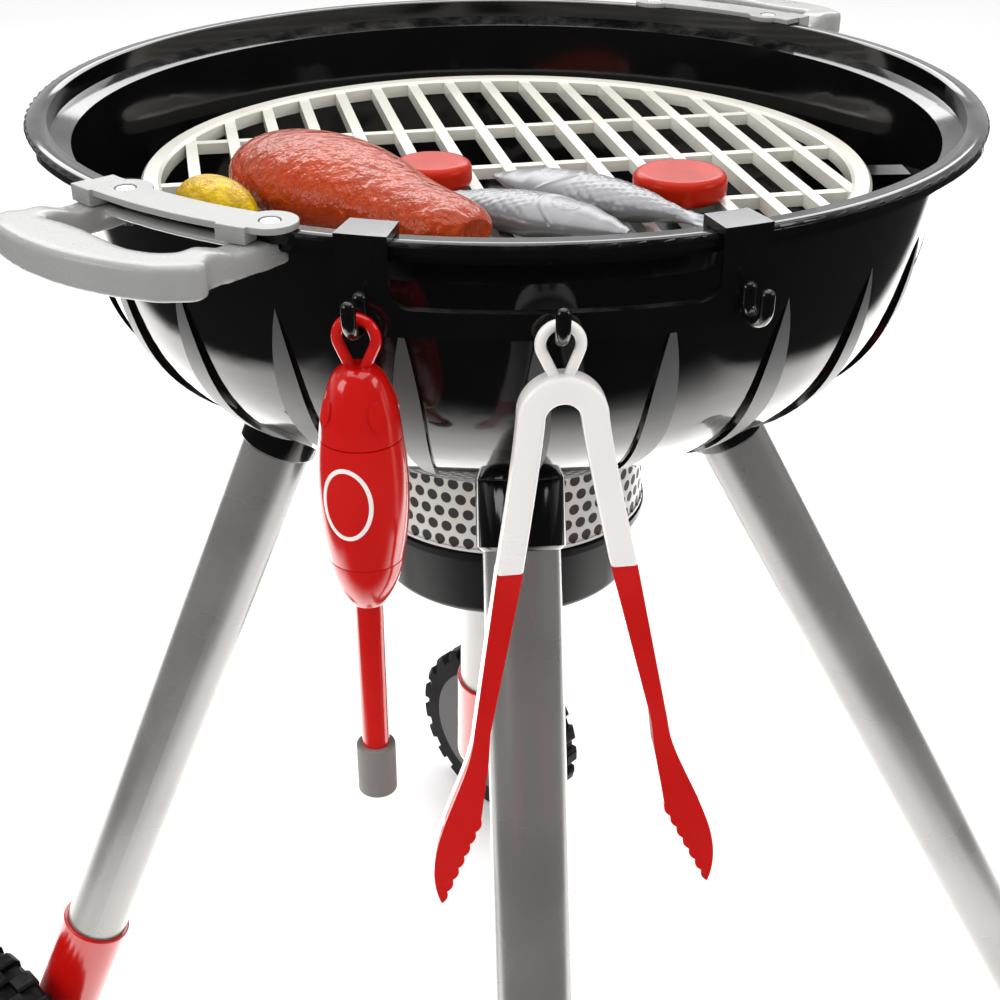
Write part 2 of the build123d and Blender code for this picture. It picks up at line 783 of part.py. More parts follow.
def make_igniter_nose():
    top = down(igniter_low_seam_drop)
    low = down(igniter_nose_drop)
    groove = igniter_seam_groove
    side = Spline(
        (igniter_low_radius, top - groove),
        ((igniter_low_radius + igniter_nose_radius) / 2 + groove * 2, (top + low) / 2 - groove * 2),
        (igniter_nose_radius, low),
    )
    rounded = [(0, top), (igniter_low_radius - groove, top), (igniter_low_radius, top - groove)]
    outline = Polyline(*rounded) + side + Polyline((igniter_nose_radius, low), (0, low), (0, top))
    nose = revolve(Plane.XZ * make_face(outline), Axis.Z)
    bore = Cylinder(igniter_rod_radius, overrun, align=upright)
    return hang_location(-1) * (nose - Pos(0, 0, low) * bore)


def make_igniter_rod():
    low = down(igniter_rod_end_drop)
    height = down(igniter_nose_drop) + overrun - low
    rod = Cylinder(igniter_rod_radius, height, align=upright)
    return hang_location(-1) * Pos(0, 0, low) * rod


def make_igniter_tip():
    low = down(igniter_tip_end_drop)
    height = down(igniter_tip_top_drop) - low
    tip = Cylinder(igniter_tip_radius, height, align=upright)
    tip = fillet(tip.edges().filter_by(GeomType.CIRCLE), igniter_tip_round)
    depth = down(igniter_tip_top_drop) - down(igniter_rod_end_drop)
    bore = Cylinder(igniter_rod_radius, depth, align=hanging)
    mouth = Cylinder(igniter_rod_radius - igniter_tip_round, height / 2, align=upright)
    tip = tip - Pos(0, 0, height) * bore - mouth
    return hang_location(-1) * Pos(0, 0, low) * tip


def tongs_location():
    """The tongs hang leaning a little about the hook."""
    lift = Pos(0, 0, down(pivot_drop()))
    return hang_location(0) * lift * Rot(0, -tongs_lean, 0) * lift.inverse()


def make_tongs_bow():
    joint = down(tongs_joint_drop)
    crown = down(tongs_crown_drop)
    arch = down(tongs_arch_drop)
    outer = tongs_bow_outer
    inner = tongs_bow_inner
    shoulder = crown - outer * tongs_crown_share
    outline = Line((-outer, joint), (-outer, shoulder))
    outline += Spline((-outer, shoulder), (0, crown), (outer, shoulder), tangents=[(0, 1), (0, -1)])
    outline += Polyline((outer, shoulder), (outer, joint), (inner, joint), (inner, arch - inner))
    outline += ThreePointArc((inner, arch - inner), (0, arch), (-inner, arch - inner))
    outline += Polyline((-inner, arch - inner), (-inner, joint), (-outer, joint))
    bow = extrude(Plane.XZ * make_face(outline), tongs_depth / 2, both=True)
    bow += make_loop(loop_wire_radius, tongs_crown_drop + loop_wire_radius)
    return tongs_location() * bow


def mirrored(points, side):
    return [(x * side, z) for x, z in points]


def tongs_plate(points, depth, side):
    outline = Polyline(*mirrored(points, side), close=True)
    return extrude(Plane.XZ * make_face(outline), depth / 2, both=True)


def tongs_knuckle():
    """Radius and middle of the round end that turns under the bow, at the right."""
    radius = (tongs_bow_outer - tongs_bow_inner) / 2
    return radius, (tongs_bow_inner + radius, down(tongs_joint_drop + tongs_joint_gap) - radius)


def tongs_plug_outline(wall, high, length):
    """Outline of the tongue that joins an arm to its blade, inset by a wall."""
    run = tongs_white_end_drop - tongs_joint_drop
    slope = (tongs_white_outer - tongs_bow_outer) / run
    top = down(tongs_white_end_drop)
    return [
        (tongs_white_outer - wall - slope * high, top + high),
        (tongs_white_outer - wall + slope * length, top - length),
        (tongs_white_inner + wall + slope * length, top - length),
        (tongs_white_inner + wall - slope * high, top + high),
    ]


def make_tongs_arm(side):
    radius, middle = tongs_knuckle()
    low = down(tongs_white_end_drop)
    outline = [
        (tongs_bow_outer, middle[1]), (tongs_white_outer, low),
        (tongs_white_inner, low), (tongs_bow_inner, middle[1]),
    ]
    arm = tongs_plate(outline, tongs_depth, side)
    arm += Pos(middle[0] * side, 0, middle[1]) * Rot(90, 0, 0) * Cylinder(radius, tongs_depth)
    wall = tongs_plug_wall + seat_gap
    plug = tongs_plug_outline(wall, overrun, tongs_plug)
    arm += tongs_plate(plug, tongs_blade_depth - wall - wall, side)
    return tongs_location() * arm


def tooth_line():
    """Scalloped inner edge of a blade, from its start to its tip."""
    start = (tongs_tooth_start, down(tongs_tooth_start_drop))
    end = (tongs_tip, down(tongs_tip_drop))
    run = (end[0] - start[0], end[1] - start[1])
    length = math.hypot(*run)
    across = (run[1] / length, -run[0] / length)
    line = Curve()
    for index in range(tongs_tooth_count):
        low = index / tongs_tooth_count
        high = (index + 1) / tongs_tooth_count
        mid = (low + high) / 2
        here = (start[0] + run[0] * low, start[1] + run[1] * low)
        there = (start[0] + run[0] * high, start[1] + run[1] * high)
        bulge = (
            start[0] + run[0] * mid + across[0] * tongs_tooth_bite,
            start[1] + run[1] * mid + across[1] * tongs_tooth_bite,
        )
        line += ThreePointArc(here, bulge, there)
    return line


def make_tongs_blade(side):
    top = down(tongs_white_end_drop) - seat_gap
    outline = Line((tongs_white_outer, top), (tongs_neck_outer, down(tongs_neck_drop)))
    outline += Spline(
        (tongs_neck_outer, down(tongs_neck_drop)),
        (tongs_blade_outer, down(tongs_blade_outer_drop)),
        (tongs_tip_outer, down(tongs_tip_outer_drop)),
        (tongs_tip, down(tongs_tip_drop)),
    )
    outline += tooth_line()
    outline += Polyline(
        (tongs_tooth_start, down(tongs_tooth_start_drop)),
        (tongs_blade_inner, down(tongs_blade_inner_drop)),
        (tongs_neck_inner, down(tongs_neck_drop)),
        (tongs_white_inner, top),
        (tongs_white_outer, top),
    )
    blade = extrude(Plane.XZ * make_face(outline), tongs_blade_depth / 2, both=True)
    wall = tongs_plug_wall
    pocket = tongs_plug_outline(wall, overrun, tongs_plug + seat_gap)
    blade -= tongs_plate(pocket, tongs_blade_depth - wall - wall, 1)
    if side < 0:
        blade = mirror(blade, Plane.YZ)
    return tongs_location() * blade


def screw_spot(angle):
    """Place of a handle screw's head seat near the front, in the recess of the clip."""
    seat = down(-handle_clip_gap) + handle_clip_thick - handle_screw_recess
    return Rot(0, 0, angle) * Pos(0, -handle_screw_ring_radius, seat)


def part_sector(points, angles):
    """Revolve an outline of (radius, height) points between two azimuths."""
    first, last = angles
    return turned(sector(points, (last - first) / 2), (first + last) / 2)


def make_handle_clip(name):
    low = down(-handle_clip_gap)
    top = low + handle_clip_thick
    inner = handle_clip_inner_radius
    outer = handle_clip_outer_radius
    clip = part_sector([(inner, low), (outer, low), (outer, top), (inner, top)], handle_clip_angles)
    for angle in handle_screw_angles:
        lobe = Cylinder(handle_lobe_radius, handle_clip_thick, align=upright)
        clip += Rot(0, 0, angle) * Pos(0, -handle_screw_ring_radius, low) * lobe
    tab_inner = rim_radius + handle_clip_gap
    tab_outer = handle_tab_outer_radius
    tab_low = down(handle_tab_drop)
    tab = [(tab_inner, tab_low), (tab_outer, tab_low), (tab_outer, top), (tab_inner, top)]
    for middle in handle_tab_angles:
        clip += part_sector(tab, (middle - handle_tab_half_angle, middle + handle_tab_half_angle))
    for angle in handle_screw_angles:
        recess = Cylinder(handle_screw_head_radius + handle_clip_gap, overrun, align=upright)
        clip -= screw_spot(angle) * recess
        clip -= screw_spot(angle) * Cylinder(handle_screw_radius + hub_fit, overrun * 2)
    return turned(clip, handle_azimuths[name])


def make_handle_screws():
    screws = []
    for azimuth in handle_azimuths.values():
        for angle in handle_screw_angles:
            head = Cylinder(handle_screw_head_radius, handle_screw_head_height, align=upright)
            head = fillet(head.edges().group_by(Axis.Z)[-1], handle_screw_head_height / 2)
            shank = Cylinder(handle_screw_radius - hub_fit, handle_screw_length, align=hanging)
            screws.append(turned(screw_spot(angle) * (head + shank), azimuth))
    return screws


def grip_outline():
    """Plan of the grip at the front: x along the rim, y outwards from the bowl's axis."""
    half = grip_half_width
    corner = rim_radius + grip_corner_reach
    line = Spline(
        (-grip_corner_half, corner),
        (0, rim_radius + grip_outer_reach),
        (grip_corner_half, corner),
    )
    right = [
        (grip_corner_half, corner), (half, (corner + grip_back) / 2), (half, grip_back + grip_round),
        (half - grip_round, grip_back), (grip_arm_outer, grip_back - grip_round), (grip_arm_outer, grip_root),
    ]
    line += Polyline(*right, *mirrored(reversed(right), -1))
    return make_face(line)


def grip_hole():
    """Finger hole of the grip, with a waved bar edge, open through the root."""
    half = grip_arm_inner
    back = grip_back + grip_round
    inner = grip_root - overrun
    line = Spline(
        (-half, back - grip_wave), (-half / 2, back - grip_wave), (0, back),
        (half / 2, back + grip_wave), (half, back - grip_wave),
    )
    line += Polyline((half, back - grip_wave), (half, inner), (-half, inner), (-half, back - grip_wave))
    return make_face(line)


def make_handle_grip(name, envelope):
    root_low = down(grip_root_bottom_drop)
    outer = rim_radius + grip_outer_reach + overrun
    bar_start = rim_radius + grip_bar_start_reach
    plan = grip_outline() - grip_hole()
    block = Pos(0, 0, root_low) * extrude(mirror(plan, Plane.XZ), grip_root_bottom_drop)
    side = Polyline(
        (grip_root, root_low),
        (rim_radius, root_low),
        (bar_start, down(grip_bar_drop)),
        (outer, down(grip_bar_drop)),
        (outer, down(0)),
        (bar_start, down(0)),
        (rim_radius + grip_neck_reach, down(grip_neck_drop)),
        (grip_root, down(grip_neck_drop)),
        close=True,
    )
    block = block & extrude(radial_plane * make_face(side), grip_half_width + overrun, both=True)
    flange_top = down(rim_lip_drop)
    flange_low = down(rim_lip_drop + seat_gap + grip_flange_thick)
    near = rim_radius - rim_step_inset
    far = rim_radius + grip_flange_reach
    flange = [(near, flange_low), (far, flange_low), (far, flange_top), (near, flange_top)]
    block += sector(flange, math.degrees(grip_arm_inner / grip_root))
    block -= envelope
    for angle in handle_screw_angles:
        bore = Cylinder(handle_screw_radius, (handle_screw_length + seat_gap) * 2)
        block -= screw_spot(angle) * bore
    return turned(block, handle_azimuths[name])


def grate_chord(offset, radius):
    """Half length of a bar at an offset from the middle of the ring."""
    return math.sqrt(radius**2 - offset**2)


def make_cooking_grate():
    low = down(grate_top_drop + grate_thick)
    inner = grate_radius - grate_ring_width
    grown = inner + grate_ring_width / 2
    ring = Circle(grate_radius) - Circle(inner)
    ring = extrude(ring, grate_thick)
    ring = chamfer(ring.edges().group_by(Axis.Z)[-1], grate_round)
    parts = []
    count = int(inner / grate_bar_pitch)
    for index in range(-count, count + 1):
        offset = index * grate_bar_pitch
        if inner - abs(offset) > grate_bar_width:
            length = grate_chord(offset, grown) * 2
            bar = Pos(offset, 0) * Rectangle(grate_bar_width, length)
            parts.append(extrude(bar, grate_thick - grate_bar_sink))
    for index in range(grate_cross_count):
        offset = (index - (grate_cross_count - 1) / 2) * grate_cross_offset
        length = grate_chord(offset, grown) * 2
        bar = Pos(0, offset) * Rectangle(length, grate_cross_width)
        parts.append(extrude(bar, grate_thick - grate_bar_sink * 2))
    grate = ring.fuse(*parts)
    return Pos(0, 0, low) * Rot(0, 0, grate_turn) * grate


def food_height():
    return down(grate_top_drop + grate_bar_sink) + food_gap


def ellipsoid(length, width, height):
    return scale(Sphere(length / 2), (1, width / length, height / length))


def on_grate(shape, place, sole):
    """Cut a flat sole, turn the shape and stand it on the bars."""
    floor = Box(rim_radius * 2, rim_radius * 2, rim_radius, align=hanging)
    x, y, turn = place
    cut = scale(shape - Pos(0, 0, sole) * floor, food_size)
    return Pos(x * food_size, y * food_size, food_height() - sole * food_size) * Rot(0, 0, turn) * cut


def make_drumstick():
    """A leg that lies flat: ovals joined from its fat end to its narrow end."""
    ovals = []
    for share, along in drumstick_shares:
        half = drumstick_radius * share
        plane = Plane(origin=(drumstick_length * (along - 1 / 2), 0, 0), x_dir=(0, 1, 0), z_dir=(1, 0, 0))
        ovals.append(plane * Ellipse(half, half * drumstick_flat_share))
    body = Pos(0, 0, drumstick_radius * drumstick_flat_share) * loft(ovals)
    return on_grate(body, drumstick_place, food_sole * 4)


def make_fish(name):
    """A fish lying on its side: a lens-like body with a forked tail."""
    length = fish_length * fish_length_shares[name]
    side = [(length * along, fish_width * half) for along, half in fish_outline_shares]
    back = [(x, -y) for x, y in side[1:]]
    body = Spline(*reversed(back), *side) + Line(side[-1], back[-1])
    body = extrude(make_face(body), fish_thick)
    crown = fish_thick / 2
    dome_radius = (fish_width**2 / 4 + crown**2) / (crown * 2)
    dome = Rot(0, 90, 0) * Cylinder(dome_radius, length * 2)
    upper = Pos(0, 0, fish_thick - dome_radius) * dome
    lower = Pos(0, 0, dome_radius) * dome
    tail_x, root = side[-1]
    tail = Polyline(
        (tail_x - overrun, root), (tail_x - overrun, -root), (length, -fish_width * fish_tail_share),
        (length - overrun * 2, 0), (length, fish_width * fish_tail_share), close=True,
    )
    tail = Pos(0, 0, crown - fish_tail_thick / 2) * extrude(make_face(tail), fish_tail_thick)
    fish = (body & upper & lower) + tail
    return on_grate(Pos(-length / 2, 0, 0) * fish, fish_places[name], food_sole)


def make_corn():
    """The corn piece leans on the ring, which stands higher than the bars."""
    ball = Pos(0, 0, corn_height / 2) * ellipsoid(corn_length, corn_width, corn_height)
    return Pos(0, 0, grate_bar_sink) * on_grate(ball, corn_place, food_sole)


def make_tomatoes():
    slices = []
    for x, y, share in tomato_places:
        slab = Cylinder(tomato_radius * share, tomato_thick, align=upright)
        slab = fillet(slab.edges().filter_by(GeomType.CIRCLE), tomato_round)
        slices.append(on_grate(slab, (x, y, 0), 0))
    return slices


def write(name, shape):
    solids = shape if isinstance(shape, list) else [shape]
    solids = [solid for item in solids for solid in item.solids()]
    part = Compound(children=solids) if len(solids) > 1 else solids[0]
    export_step(part, f"parts/{name}.step")
    return part


def main():
    os.makedirs("parts", exist_ok=True)
    envelope = bowl_envelope(seat_gap)
    write("kettle_bowl", make_kettle_bowl())
    write("vent_band", make_vent_band())
    write("ash_pot", make_ash_pot())
    write("floor_screws", make_floor_screws())
    for name in leg_azimuths:
        write(f"leg_tube_{name}", make_leg_tube(name))
        write(f"leg_socket_{name}", make_leg_socket(name, envelope))
    for name in ("front", "right"):
        write(f"foot_cap_{name}", make_foot_cap(name))
    for name in ("rear", "left"):
        write(f"wheel_sleeve_{name}", make_wheel_sleeve(name))
        write(f"wheel_axle_{name}", make_axle(name))
        write(f"axle_cap_{name}", make_axle_cap(name))
        write(f"tyre_{name}", make_tyre(name))
        write(f"hub_{name}", make_hub(name))
    write("hook_rail", make_hook_rail())
    write("igniter_cap", make_igniter_cap())
    write("igniter_body", make_igniter_body())
    write("igniter_nose", make_igniter_nose())
    write("igniter_rod", make_igniter_rod())
    write("igniter_tip", make_igniter_tip())
    write("tongs_bow", make_tongs_bow())
    for name, side in (("left", -1), ("right", 1)):
        write(f"tongs_arm_{name}", make_tongs_arm(side))
        write(f"tongs_blade_{name}", make_tongs_blade(side))
    for name in handle_azimuths:
        write(f"handle_clip_{name}", make_handle_clip(name))
        write(f"handle_grip_{name}", make_handle_grip(name, envelope))
    write("handle_screws", make_handle_screws())
    write("cooking_grate", make_cooking_grate())
    write("drumstick", make_drumstick())
    for name in fish_places:
        write(f"fish_{name}", make_fish(name))
    write("corn_piece", make_corn())
    write("tomato_slices", make_tomatoes())


main()
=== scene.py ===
import json
import math

import bpy
from bpy.props import FloatProperty, FloatVectorProperty, PointerProperty
from mathutils import Matrix, Vector


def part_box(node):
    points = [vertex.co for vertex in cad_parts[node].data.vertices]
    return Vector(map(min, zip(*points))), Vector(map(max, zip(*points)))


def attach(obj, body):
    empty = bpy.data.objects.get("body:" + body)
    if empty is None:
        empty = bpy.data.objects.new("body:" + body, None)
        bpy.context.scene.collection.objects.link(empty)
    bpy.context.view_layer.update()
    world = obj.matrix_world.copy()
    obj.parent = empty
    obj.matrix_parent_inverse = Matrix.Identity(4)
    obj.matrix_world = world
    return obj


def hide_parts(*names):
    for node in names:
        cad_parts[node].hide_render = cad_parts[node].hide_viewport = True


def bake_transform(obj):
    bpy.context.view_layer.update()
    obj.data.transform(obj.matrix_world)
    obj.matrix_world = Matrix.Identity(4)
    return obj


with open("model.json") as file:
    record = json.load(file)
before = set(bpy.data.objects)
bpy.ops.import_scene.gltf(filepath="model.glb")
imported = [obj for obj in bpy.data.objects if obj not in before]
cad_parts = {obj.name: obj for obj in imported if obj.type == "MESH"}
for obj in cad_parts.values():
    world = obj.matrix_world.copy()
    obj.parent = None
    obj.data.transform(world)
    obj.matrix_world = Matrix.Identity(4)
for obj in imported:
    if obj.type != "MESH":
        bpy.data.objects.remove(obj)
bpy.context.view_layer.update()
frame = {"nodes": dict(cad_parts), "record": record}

bl_info = {
    "name": "Toy Kettle Grill",
    "version": (1, 0, 0),
    "blender": (4, 5, 0),
    "location": "3D Viewport > Sidebar > Grill",
    "description": "Dresses the toy kettle grill: finishes, play food, hanging tools and a pale studio",
    "category": "Add Mesh",
}

MM = 0.001
RIM_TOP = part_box("kettle_bowl")[1].z
RIM_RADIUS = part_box("kettle_bowl")[1].x


# Places on the grill


def below_rim(drop):
    """Height of a point that is so many millimetres below the rim."""
    return RIM_TOP - drop * MM


def smooth_step(low, high, value):
    share = min(1.0, max(0.0, (value - low) / (high - low)))
    return share * share * (3 - 2 * share)


# Shader effects that several finishes share


def shader_group(name, inputs, outputs):
    """New node group with named number inputs and named outputs."""
    tree = bpy.data.node_groups.new(name, "ShaderNodeTree")
    for label, value in inputs:
        socket = tree.interface.new_socket(label, in_out="INPUT", socket_type="NodeSocketFloat")
        socket.default_value = value
    for label in outputs:
        tree.interface.new_socket(label, in_out="OUTPUT", socket_type="NodeSocketFloat")
    return tree, tree.nodes.new("NodeGroupInput"), tree.nodes.new("NodeGroupOutput")


def put(tree, kind, settings=(), **sockets):
    """Add a node, set what it holds and join or fill its inputs by name."""
    node = tree.nodes.new(kind)
    for key, value in dict(settings).items():
        setattr(node, key, value)
    for key, value in sockets.items():
        place = int(key[1:]) if key[1:].isdigit() else key.replace("_", " ")
        if isinstance(value, bpy.types.NodeSocket):
            tree.links.new(value, node.inputs[place])
        else:
            node.inputs[place].default_value = value
    return node


def maths(tree, operation, first, second=0.0, third=None):
    """Result socket of one sum."""
    sockets = {"i0": first, "i1": second}
    if third is not None:
        sockets["i2"] = third
    return put(tree, "ShaderNodeMath", {"operation": operation}, **sockets).outputs[0]


def ranged(tree, value, low, high, to_low=0.0, to_high=1.0):
    """Smooth change of a value from one range to another."""
    node = put(tree, "ShaderNodeMapRange", {"interpolation_type": "SMOOTHSTEP"}, Value=value)
    node.inputs["From Min"].default_value = low
    node.inputs["From Max"].default_value = high
    node.inputs["To Min"].default_value = to_low
    node.inputs["To Max"].default_value = to_high
    return node.outputs["Result"]


def noise_value(tree, scale, detail=2.0, roughness=0.5, vector=None):
    """Noise over the surface at so many features to a metre."""
    if vector is None:
        vector = tree.nodes.new("ShaderNodeTexCoord").outputs["Object"]
    return put(
        tree, "ShaderNodeTexNoise", Vector=vector, Scale=scale, Detail=detail, Roughness=roughness
    ).outputs["Fac"]


def moulded_skin_group():
    """Fine mould grain and slow flow shade of plastic; sizes are in millimetres."""
    tree, inside, outside = shader_group(
        "moulded_skin", [("Grain Size", 0.8), ("Flow Size", 40.0)], ["Height", "Flow"]
    )
    grain_scale = maths(tree, "DIVIDE", 1000.0, inside.outputs["Grain Size"])
    flow_scale = maths(tree, "DIVIDE", 1000.0, inside.outputs["Flow Size"])
    tree.links.new(noise_value(tree, grain_scale, 3.0, 0.6), outside.inputs["Height"])
    flow = noise_value(tree, flow_scale, 2.0, 0.45)
    tree.links.new(ranged(tree, flow, 0.3, 0.7), outside.inputs["Flow"])
    return tree


def rub_marks_group():
    """Thin rub marks and faint finger smears on handled parts."""
    tree, inside, outside = shader_group("rub_marks", [("Size", 30.0), ("Cover", 0.4)], ["Mask"])
    coordinates = tree.nodes.new("ShaderNodeTexCoord").outputs["Object"]
    stretched = put(tree, "ShaderNodeMapping", Vector=coordinates, Scale=(1.0, 1.4, 7.0)).outputs[0]
    scale = maths(tree, "DIVIDE", 1000.0, inside.outputs["Size"])
    lines = noise_value(tree, scale, 5.0, 0.7, stretched)
    smears = noise_value(tree, scale, 1.0, 0.4, coordinates)
    both = maths(tree, "MULTIPLY", ranged(tree, lines, 0.45, 0.75), ranged(tree, smears, 0.4, 0.75))
    tree.links.new(maths(tree, "MULTIPLY", both, inside.outputs["Cover"]), outside.inputs["Mask"])
    return tree


def settled_dust_group():
    """Thin dust on the surfaces that face up."""
    tree, inside, outside = shader_group("settled_dust", [("Patch Size", 12.0), ("Cover", 0.2)], ["Mask"])
    coordinates = tree.nodes.new("ShaderNodeTexCoord")
    facing = put(tree, "ShaderNodeSeparateXYZ", Vector=coordinates.outputs["Normal"]).outputs["Z"]
    scale = maths(tree, "DIVIDE", 1000.0, inside.outputs["Patch Size"])
    patches = ranged(tree, noise_value(tree, scale, 4.0, 0.65), 0.35, 0.75)
    lying = maths(tree, "MULTIPLY", ranged(tree, facing, 0.45, 1.0), patches)
    tree.links.new(maths(tree, "MULTIPLY", lying, inside.outputs["Cover"]), outside.inputs["Mask"])
    return tree


def effect(tree, name, **values):
    """Place a shared effect in a material with this material's own values."""
    makers = {
        "moulded_skin": moulded_skin_group,
        "rub_marks": rub_marks_group,
        "settled_dust": settled_dust_group,
    }
    node = tree.nodes.new("ShaderNodeGroup")
    node.node_tree = bpy.data.node_groups.get(name) or makers[name]()
    for key, value in values.items():
        node.inputs[key.replace("_", " ")].default_value = value
    return node


def blended(tree, factor, first, second):
    """Mix of two colours; each is a socket or an (r, g, b)."""
    node = tree.nodes.new("ShaderNodeMix")
    node.data_type = "RGBA"
    for place, value in ((0, factor), (6, first), (7, second)):
        if isinstance(value, bpy.types.NodeSocket):
            tree.links.new(value, node.inputs[place])
        elif place:
            node.inputs[place].default_value = (*value, 1.0)
        else:
            node.inputs[place].default_value = value
    return node.outputs[2]


def shaded(colour, share):
    return tuple(channel * share for channel in colour)


# Finishes


def finish(name, colour, roughness, **look):
    """Moulded or painted finish: flow shade, rub marks, dust, grain in the bump and uneven gloss."""
    label = "look_" + name
    found = bpy.data.materials.get(label)
    if found:
        return found
    material = bpy.data.materials.new(label)
    material.use_nodes = True
    tree = material.node_tree
    principled = tree.nodes["Principled BSDF"]
    skin = effect(
        tree, "moulded_skin", Grain_Size=look.get("grain", 0.9), Flow_Size=look.get("flow", 38.0)
    )
    marks = effect(tree, "rub_marks", Size=look.get("mark_size", 26.0), Cover=look.get("marks", 0.35))
    dust = effect(tree, "settled_dust", Cover=look.get("dust", 0.06))
    tint = look.get("tint", 0.08)
    base = blended(tree, skin.outputs["Flow"], shaded(colour, 1 - tint), shaded(colour, 1 + tint))
    detail = look.get("detail")
    extra = detail(tree, base) if detail else {}
    base = extra.get("colour", base)
    base = blended(tree, dust.outputs["Mask"], base, (0.62, 0.6, 0.57))
    tree.links.new(base, principled.inputs["Base Color"])
    spread = look.get("spread", 0.06)
    gloss = maths(tree, "MULTIPLY_ADD", skin.outputs["Flow"], spread, roughness - spread / 2)
    gloss = maths(tree, "MULTIPLY_ADD", marks.outputs["Mask"], look.get("mark_depth", 0.16), gloss)
    gloss = maths(tree, "MULTIPLY_ADD", dust.outputs["Mask"], 0.5, gloss)
    if "roughness" in extra:
        gloss = maths(tree, "ADD", gloss, extra["roughness"])
    tree.links.new(gloss, principled.inputs["Roughness"])
    height = skin.outputs["Height"]
    bump = put(tree, "ShaderNodeBump", Height=height, Strength=look.get("bump", 0.12), Distance=0.0002)
    if "height" in extra:
        bump = put(
            tree, "ShaderNodeBump", Height=extra["height"], Strength=1.0,
            Distance=look.get("relief", 0.0006), Normal=bump.outputs["Normal"],
        )
    tree.links.new(bump.outputs["Normal"], principled.inputs["Normal"])
    principled.inputs["Metallic"].default_value = look.get("metal", 0.0)
    principled.inputs["Coat Weight"].default_value = look.get("coat", 0.0)
    principled.inputs["Coat Roughness"].default_value = look.get("coat_roughness", 0.06)
    principled.inputs["IOR"].default_value = look.get("ior", 1.5)
    material.diffuse_color = (*colour, 1.0)
    return material


def wrapped(tree):
    """Object coordinates as separate sockets, with the distance from the grill's axis and the turn."""
    coordinates = tree.nodes.new("ShaderNodeTexCoord")
    parts = put(tree, "ShaderNodeSeparateXYZ", Vector=coordinates.outputs["Object"])
    x, y, z = parts.outputs
    away = maths(tree, "SQRT", maths(tree, "MULTIPLY_ADD", x, x, maths(tree, "MULTIPLY", y, y)))
    turn = maths(tree, "ARCTAN2", x, maths(tree, "MULTIPLY", y, -1.0))
    return coordinates, x, y, z, away, turn


# Ribs of the bowl and dots of the vent band, in millimetres
RIB_COUNT = 24
RIB_MIDDLE_DROP = 63.0
RIB_HALF_LENGTH = 34.0
RIB_HALF_WIDTH = 4.3
RIM_ROLL_HALF = 3.75
DOT_ROW_PITCH = 6.0
DOT_COUNT = 59
DOT_PITCH = 5.8


def rib_satin(tree, base):
    """Satin ribs on the gloss bowl, inside the lens outline of each rib."""
    coordinates, x, y, z, away, turn = wrapped(tree)
    pitch = math.tau / RIB_COUNT
    local = maths(tree, "WRAP", turn, pitch / 2, -pitch / 2)
    across = maths(tree, "ABSOLUTE", maths(tree, "MULTIPLY", away, local))
    share = maths(tree, "SUBTRACT", z, below_rim(RIB_MIDDLE_DROP))
    share = maths(tree, "DIVIDE", share, RIB_HALF_LENGTH * MM)
    widest = RIB_HALF_WIDTH * MM
    width = maths(tree, "MULTIPLY_ADD", maths(tree, "MULTIPLY", share, share), -widest, widest)
    inside = ranged(tree, maths(tree, "SUBTRACT", width, across), -0.1 * MM, 0.15 * MM)
    normal = put(tree, "ShaderNodeSeparateXYZ", Vector=coordinates.outputs["Normal"])
    outward = maths(tree, "MULTIPLY_ADD", x, normal.outputs[0], maths(tree, "MULTIPLY", y, normal.outputs[1]))
    mask = maths(tree, "MULTIPLY", inside, maths(tree, "GREATER_THAN", outward, 0.012))
    colour = blended(tree, mask, base, (0.066, 0.066, 0.067))
    along = maths(tree, "SUBTRACT", away, RIM_RADIUS - RIM_ROLL_HALF * MM)
    along = maths(tree, "DIVIDE", along, RIM_ROLL_HALF * MM)
    along = maths(tree, "MINIMUM", maths(tree, "ABSOLUTE", along), 1.0)
    rolled = maths(tree, "MULTIPLY", maths(tree, "MULTIPLY", along, along), -1.5)
    return {"colour": colour, "roughness": maths(tree, "MULTIPLY", mask, 0.34), "height": rolled}


def vent_dots(tree, base):
    """Five staggered rows of dark dots round the vent band."""
    _, _, _, z, _, turn = wrapped(tree)
    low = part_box("vent_band")[0]
    rows = maths(tree, "DIVIDE", maths(tree, "SUBTRACT", z, low.z + 3.2 * MM), DOT_ROW_PITCH * MM)
    row = maths(tree, "ROUND", rows)
    off_row = maths(tree, "MULTIPLY", maths(tree, "SUBTRACT", rows, row), DOT_ROW_PITCH)
    places = maths(tree, "MULTIPLY_ADD", turn, DOT_COUNT / math.tau, maths(tree, "MULTIPLY", row, 0.5))
    off_place = maths(tree, "SUBTRACT", places, maths(tree, "ROUND", places))
    off_place = maths(tree, "MULTIPLY", off_place, DOT_PITCH)
    square = maths(tree, "MULTIPLY_ADD", off_row, off_row, maths(tree, "MULTIPLY", off_place, off_place))
    distance = maths(tree, "SQRT", square)
    dot = ranged(tree, distance, 2.25, 2.0)
    above_low = maths(tree, "GREATER_THAN", rows, -0.4)
    on_band = maths(tree, "MULTIPLY", above_low, maths(tree, "LESS_THAN", rows, 4.4))
    mask = maths(tree, "MULTIPLY", dot, on_band)
    colour = blended(tree, mask, base, (0.035, 0.03, 0.028))
    return {
        "colour": colour,
        "roughness": maths(tree, "MULTIPLY", mask, 0.25),
        "height": maths(tree, "MULTIPLY", mask, -1.0),
    }


def drawn_lines(tree, base):
    """Faint draw lines along painted tube."""
    coordinates = tree.nodes.new("ShaderNodeTexCoord").outputs["Object"]
    stretched = put(tree, "ShaderNodeMapping", Vector=coordinates, Scale=(1.0, 1.0, 0.06)).outputs[0]
    lines = noise_value(tree, 500.0, 2.0, 0.6, stretched)
    shade = blended(tree, maths(tree, "MULTIPLY", ranged(tree, lines, 0.3, 0.7), 0.06), base, (0.3, 0.3, 0.3))
    return {"colour": shade}


